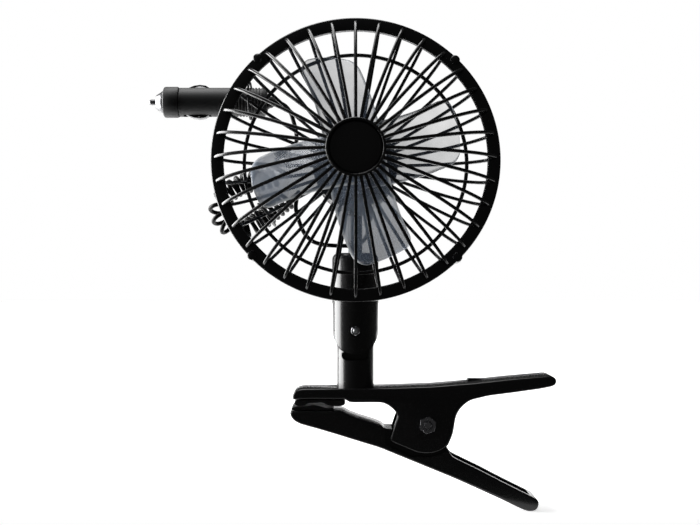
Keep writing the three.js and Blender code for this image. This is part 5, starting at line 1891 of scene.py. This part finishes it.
@dataclass
class Plug:
    """The accessory plug: ribbed body, collar, cone, sprung pin and two side contacts."""

    y: float = 44.5
    z: float = -30.4
    radius: float = 9.7
    fuse: float = 3.55
    cord: float = 1.75
    nose_bore: float = 2.25
    grooves: int = 8
    groove_pitch: float = 2.1
    groove_start: float = -78.0
    groove: Profile = ((0, -0.55), (0.6, -0.3), (0.6, 0.4), (0, 0.65))
    slot: tuple[float, float, float] = (-114.6, -96.2, 2.5)
    ring: Profile = (
        (0, -128), (9.3, -128), (10, -127.6), (10.35, -126.6), (10.35, -119), (9.9, -118), (6.4, -118),
        (6.4, -115), (0, -115),
    )
    nose: Profile = (
        (0, -133.3), (4.2, -133.3), (4.9, -132.8), (6.6, -130), (7.5, -128.9), (7.6, -128.3), (0, -128.3),
    )
    pin: Profile = (
        (0, -138), (0.9, -138), (1.5, -137.5), (1.9, -136.6), (1.9, -127.7), (3.1, -127.7), (3.1, -126),
        (0, -126),
    )
    boot: Profile = (
        (0, -62.7), (4.6, -62.7), (4.6, -58), (3.9, -57.2), (3.7, -55.6), (2.9, -54.8), (2.7, -53),
        (2.3, -52), (0, -52),
    )
    spring: tuple[float, float, float, float] = (-92.3, 20.6, 2.4, 0.4)
    spring_turns: int = 3
    spring_steps: int = 32

    def rod(self, radius: float, x0: float, x1: float) -> Solid:
        """Returns a rod on the plug's axis."""
        return Solid.rod(radius, x0, x1, Axis.X, (0.0, self.y, self.z), sides=80)

    def lathe(self, profile: Profile) -> Solid:
        """Returns a turned solid on the plug's axis."""
        return Solid.lathe(profile, Axis.X, (0.0, self.y, self.z), 80)

    def build(self) -> list[bpy.types.Object]:
        """Makes the plug and returns its pieces."""
        turned = (
            ("plug_shell", self._shell(), Body.HEAD, Finish.DULL, "plug_body", 0.15),
            ("plug_ring", self.lathe(self.ring) - self.rod(self.fuse, -130, -113), Body.HEAD,
             Finish.DULL, "plug_collar", 0.0),
            ("plug_cone", self.lathe(self.nose) - self.rod(self.nose_bore, -135, -127), Body.HEAD,
             Finish.BRIGHT, "plug_nose", 0.0),
            ("plug_pin_tip", self.lathe(self.pin), Body.PLUG_PIN, Finish.BRIGHT, "plug_tip_pin", 0.0),
            ("plug_cord_boot", self.lathe(self.boot) - self.rod(self.cord, -64, -50), Body.HEAD,
             Finish.PAD, "plug_boot", 0.0),
        )
        spring = self._spring()
        return [
            *(Piece(name, HEAD).take(solid).done(body, finish, (node,), 40.0, bevel)
              for name, solid, body, finish, node, bevel in turned),
            spring,
            Carried("plug_side_top", "plug_contact_upper", Body.CONTACT_UPPER, Finish.BRIGHT, 0.2).build(),
            Carried("plug_side_bottom", "plug_contact_lower", Body.CONTACT_LOWER, Finish.BRIGHT, 0.2).build(),
            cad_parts["plug_fuse"],
        ]

    def _shell(self) -> Solid:
        """Returns the grooved body, hollow and slotted for the side contacts."""
        r, (x0, x1, half) = self.radius, self.slot
        profile = [(0, -117.7), (r - 0.4, -117.7), (r, -117.3)]
        for i in range(self.grooves):
            x = self.groove_start + self.groove_pitch * i
            profile += [(r - deep, x + along) for deep, along in self.groove]
        body = self.lathe([*profile, (r, -61.6), (r - 1.7, -59), (0, -59)]).cut(
            self.rod(6.7, -120, -114.7), self.rod(self.fuse, -120, -71), self.rod(self.cord, -73, -55),
            self.rod(4.95, -63, -57),
        )
        for side in (-1, 1):
            low, high = sorted((self.y + side * 3.9, self.y + side * (r + 2)))
            body = body - Solid.box((x0, low, self.z - half), (x1, high, self.z + half))
        return body

    def _spring(self) -> bpy.types.Object:
        """Makes the small spring that the pin squashes, and returns it."""
        start, long, radius, thick = self.spring
        count = self.spring_turns * self.spring_steps
        coil = []
        for i in range(count + 1):
            a = math.tau * i / self.spring_steps
            across, up = radius * math.cos(a), radius * math.sin(a)
            coil.append(Vector((start + long * i / count, self.y + across, self.z + up)))
        spring = as_mesh(wire("plug_spring_wire", coil, thick, HEAD))
        settle(spring, Body.HEAD, Finish.STEEL, ("plug_spring",))
        tuple(HEAD @ coil[-1])
        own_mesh(spring)
        return spring


INNER = {
    "spring_sleeve": Finish.DULL, "tilt_washer": Finish.DULL,
    "swivel_washer": Finish.STEEL, "swivel_screw": Finish.STEEL, "motor_can": Finish.STEEL,
    "motor_end_cap": Finish.DULL, "motor_terminal_1": Finish.BRASS, "motor_terminal_2": Finish.BRASS,
    "motor_shaft": Finish.STEEL, "plug_fuse": Finish.GLASS,
}


def dress_inner() -> None:
    """Gives the CAD nodes that stay their finishes."""
    for node, finish in INNER.items():
        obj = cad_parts[node]
        obj.data.materials.clear()
        obj.data.materials.append(finish.material())
        log.info("%s: carried over", node)


def corners(box: tuple[Vector, Vector]) -> list[list[float]]:
    """Returns a box as plain lists."""
    return [list(corner) for corner in box]


def main() -> None:
    """Builds the fan piece by piece."""
    logging.basicConfig(level=logging.INFO, format="%(message)s")
    cad = corners(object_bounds())
    Studio().build()
    Cord().build()
    Cage().build()
    Impeller().build()
    Clamp().build()
    Neck().build()
    Pod().build()
    dress_inner()
    sizes = {"cad": cad, "visual": corners(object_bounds())}


if __name__ == "__main__":
    main()
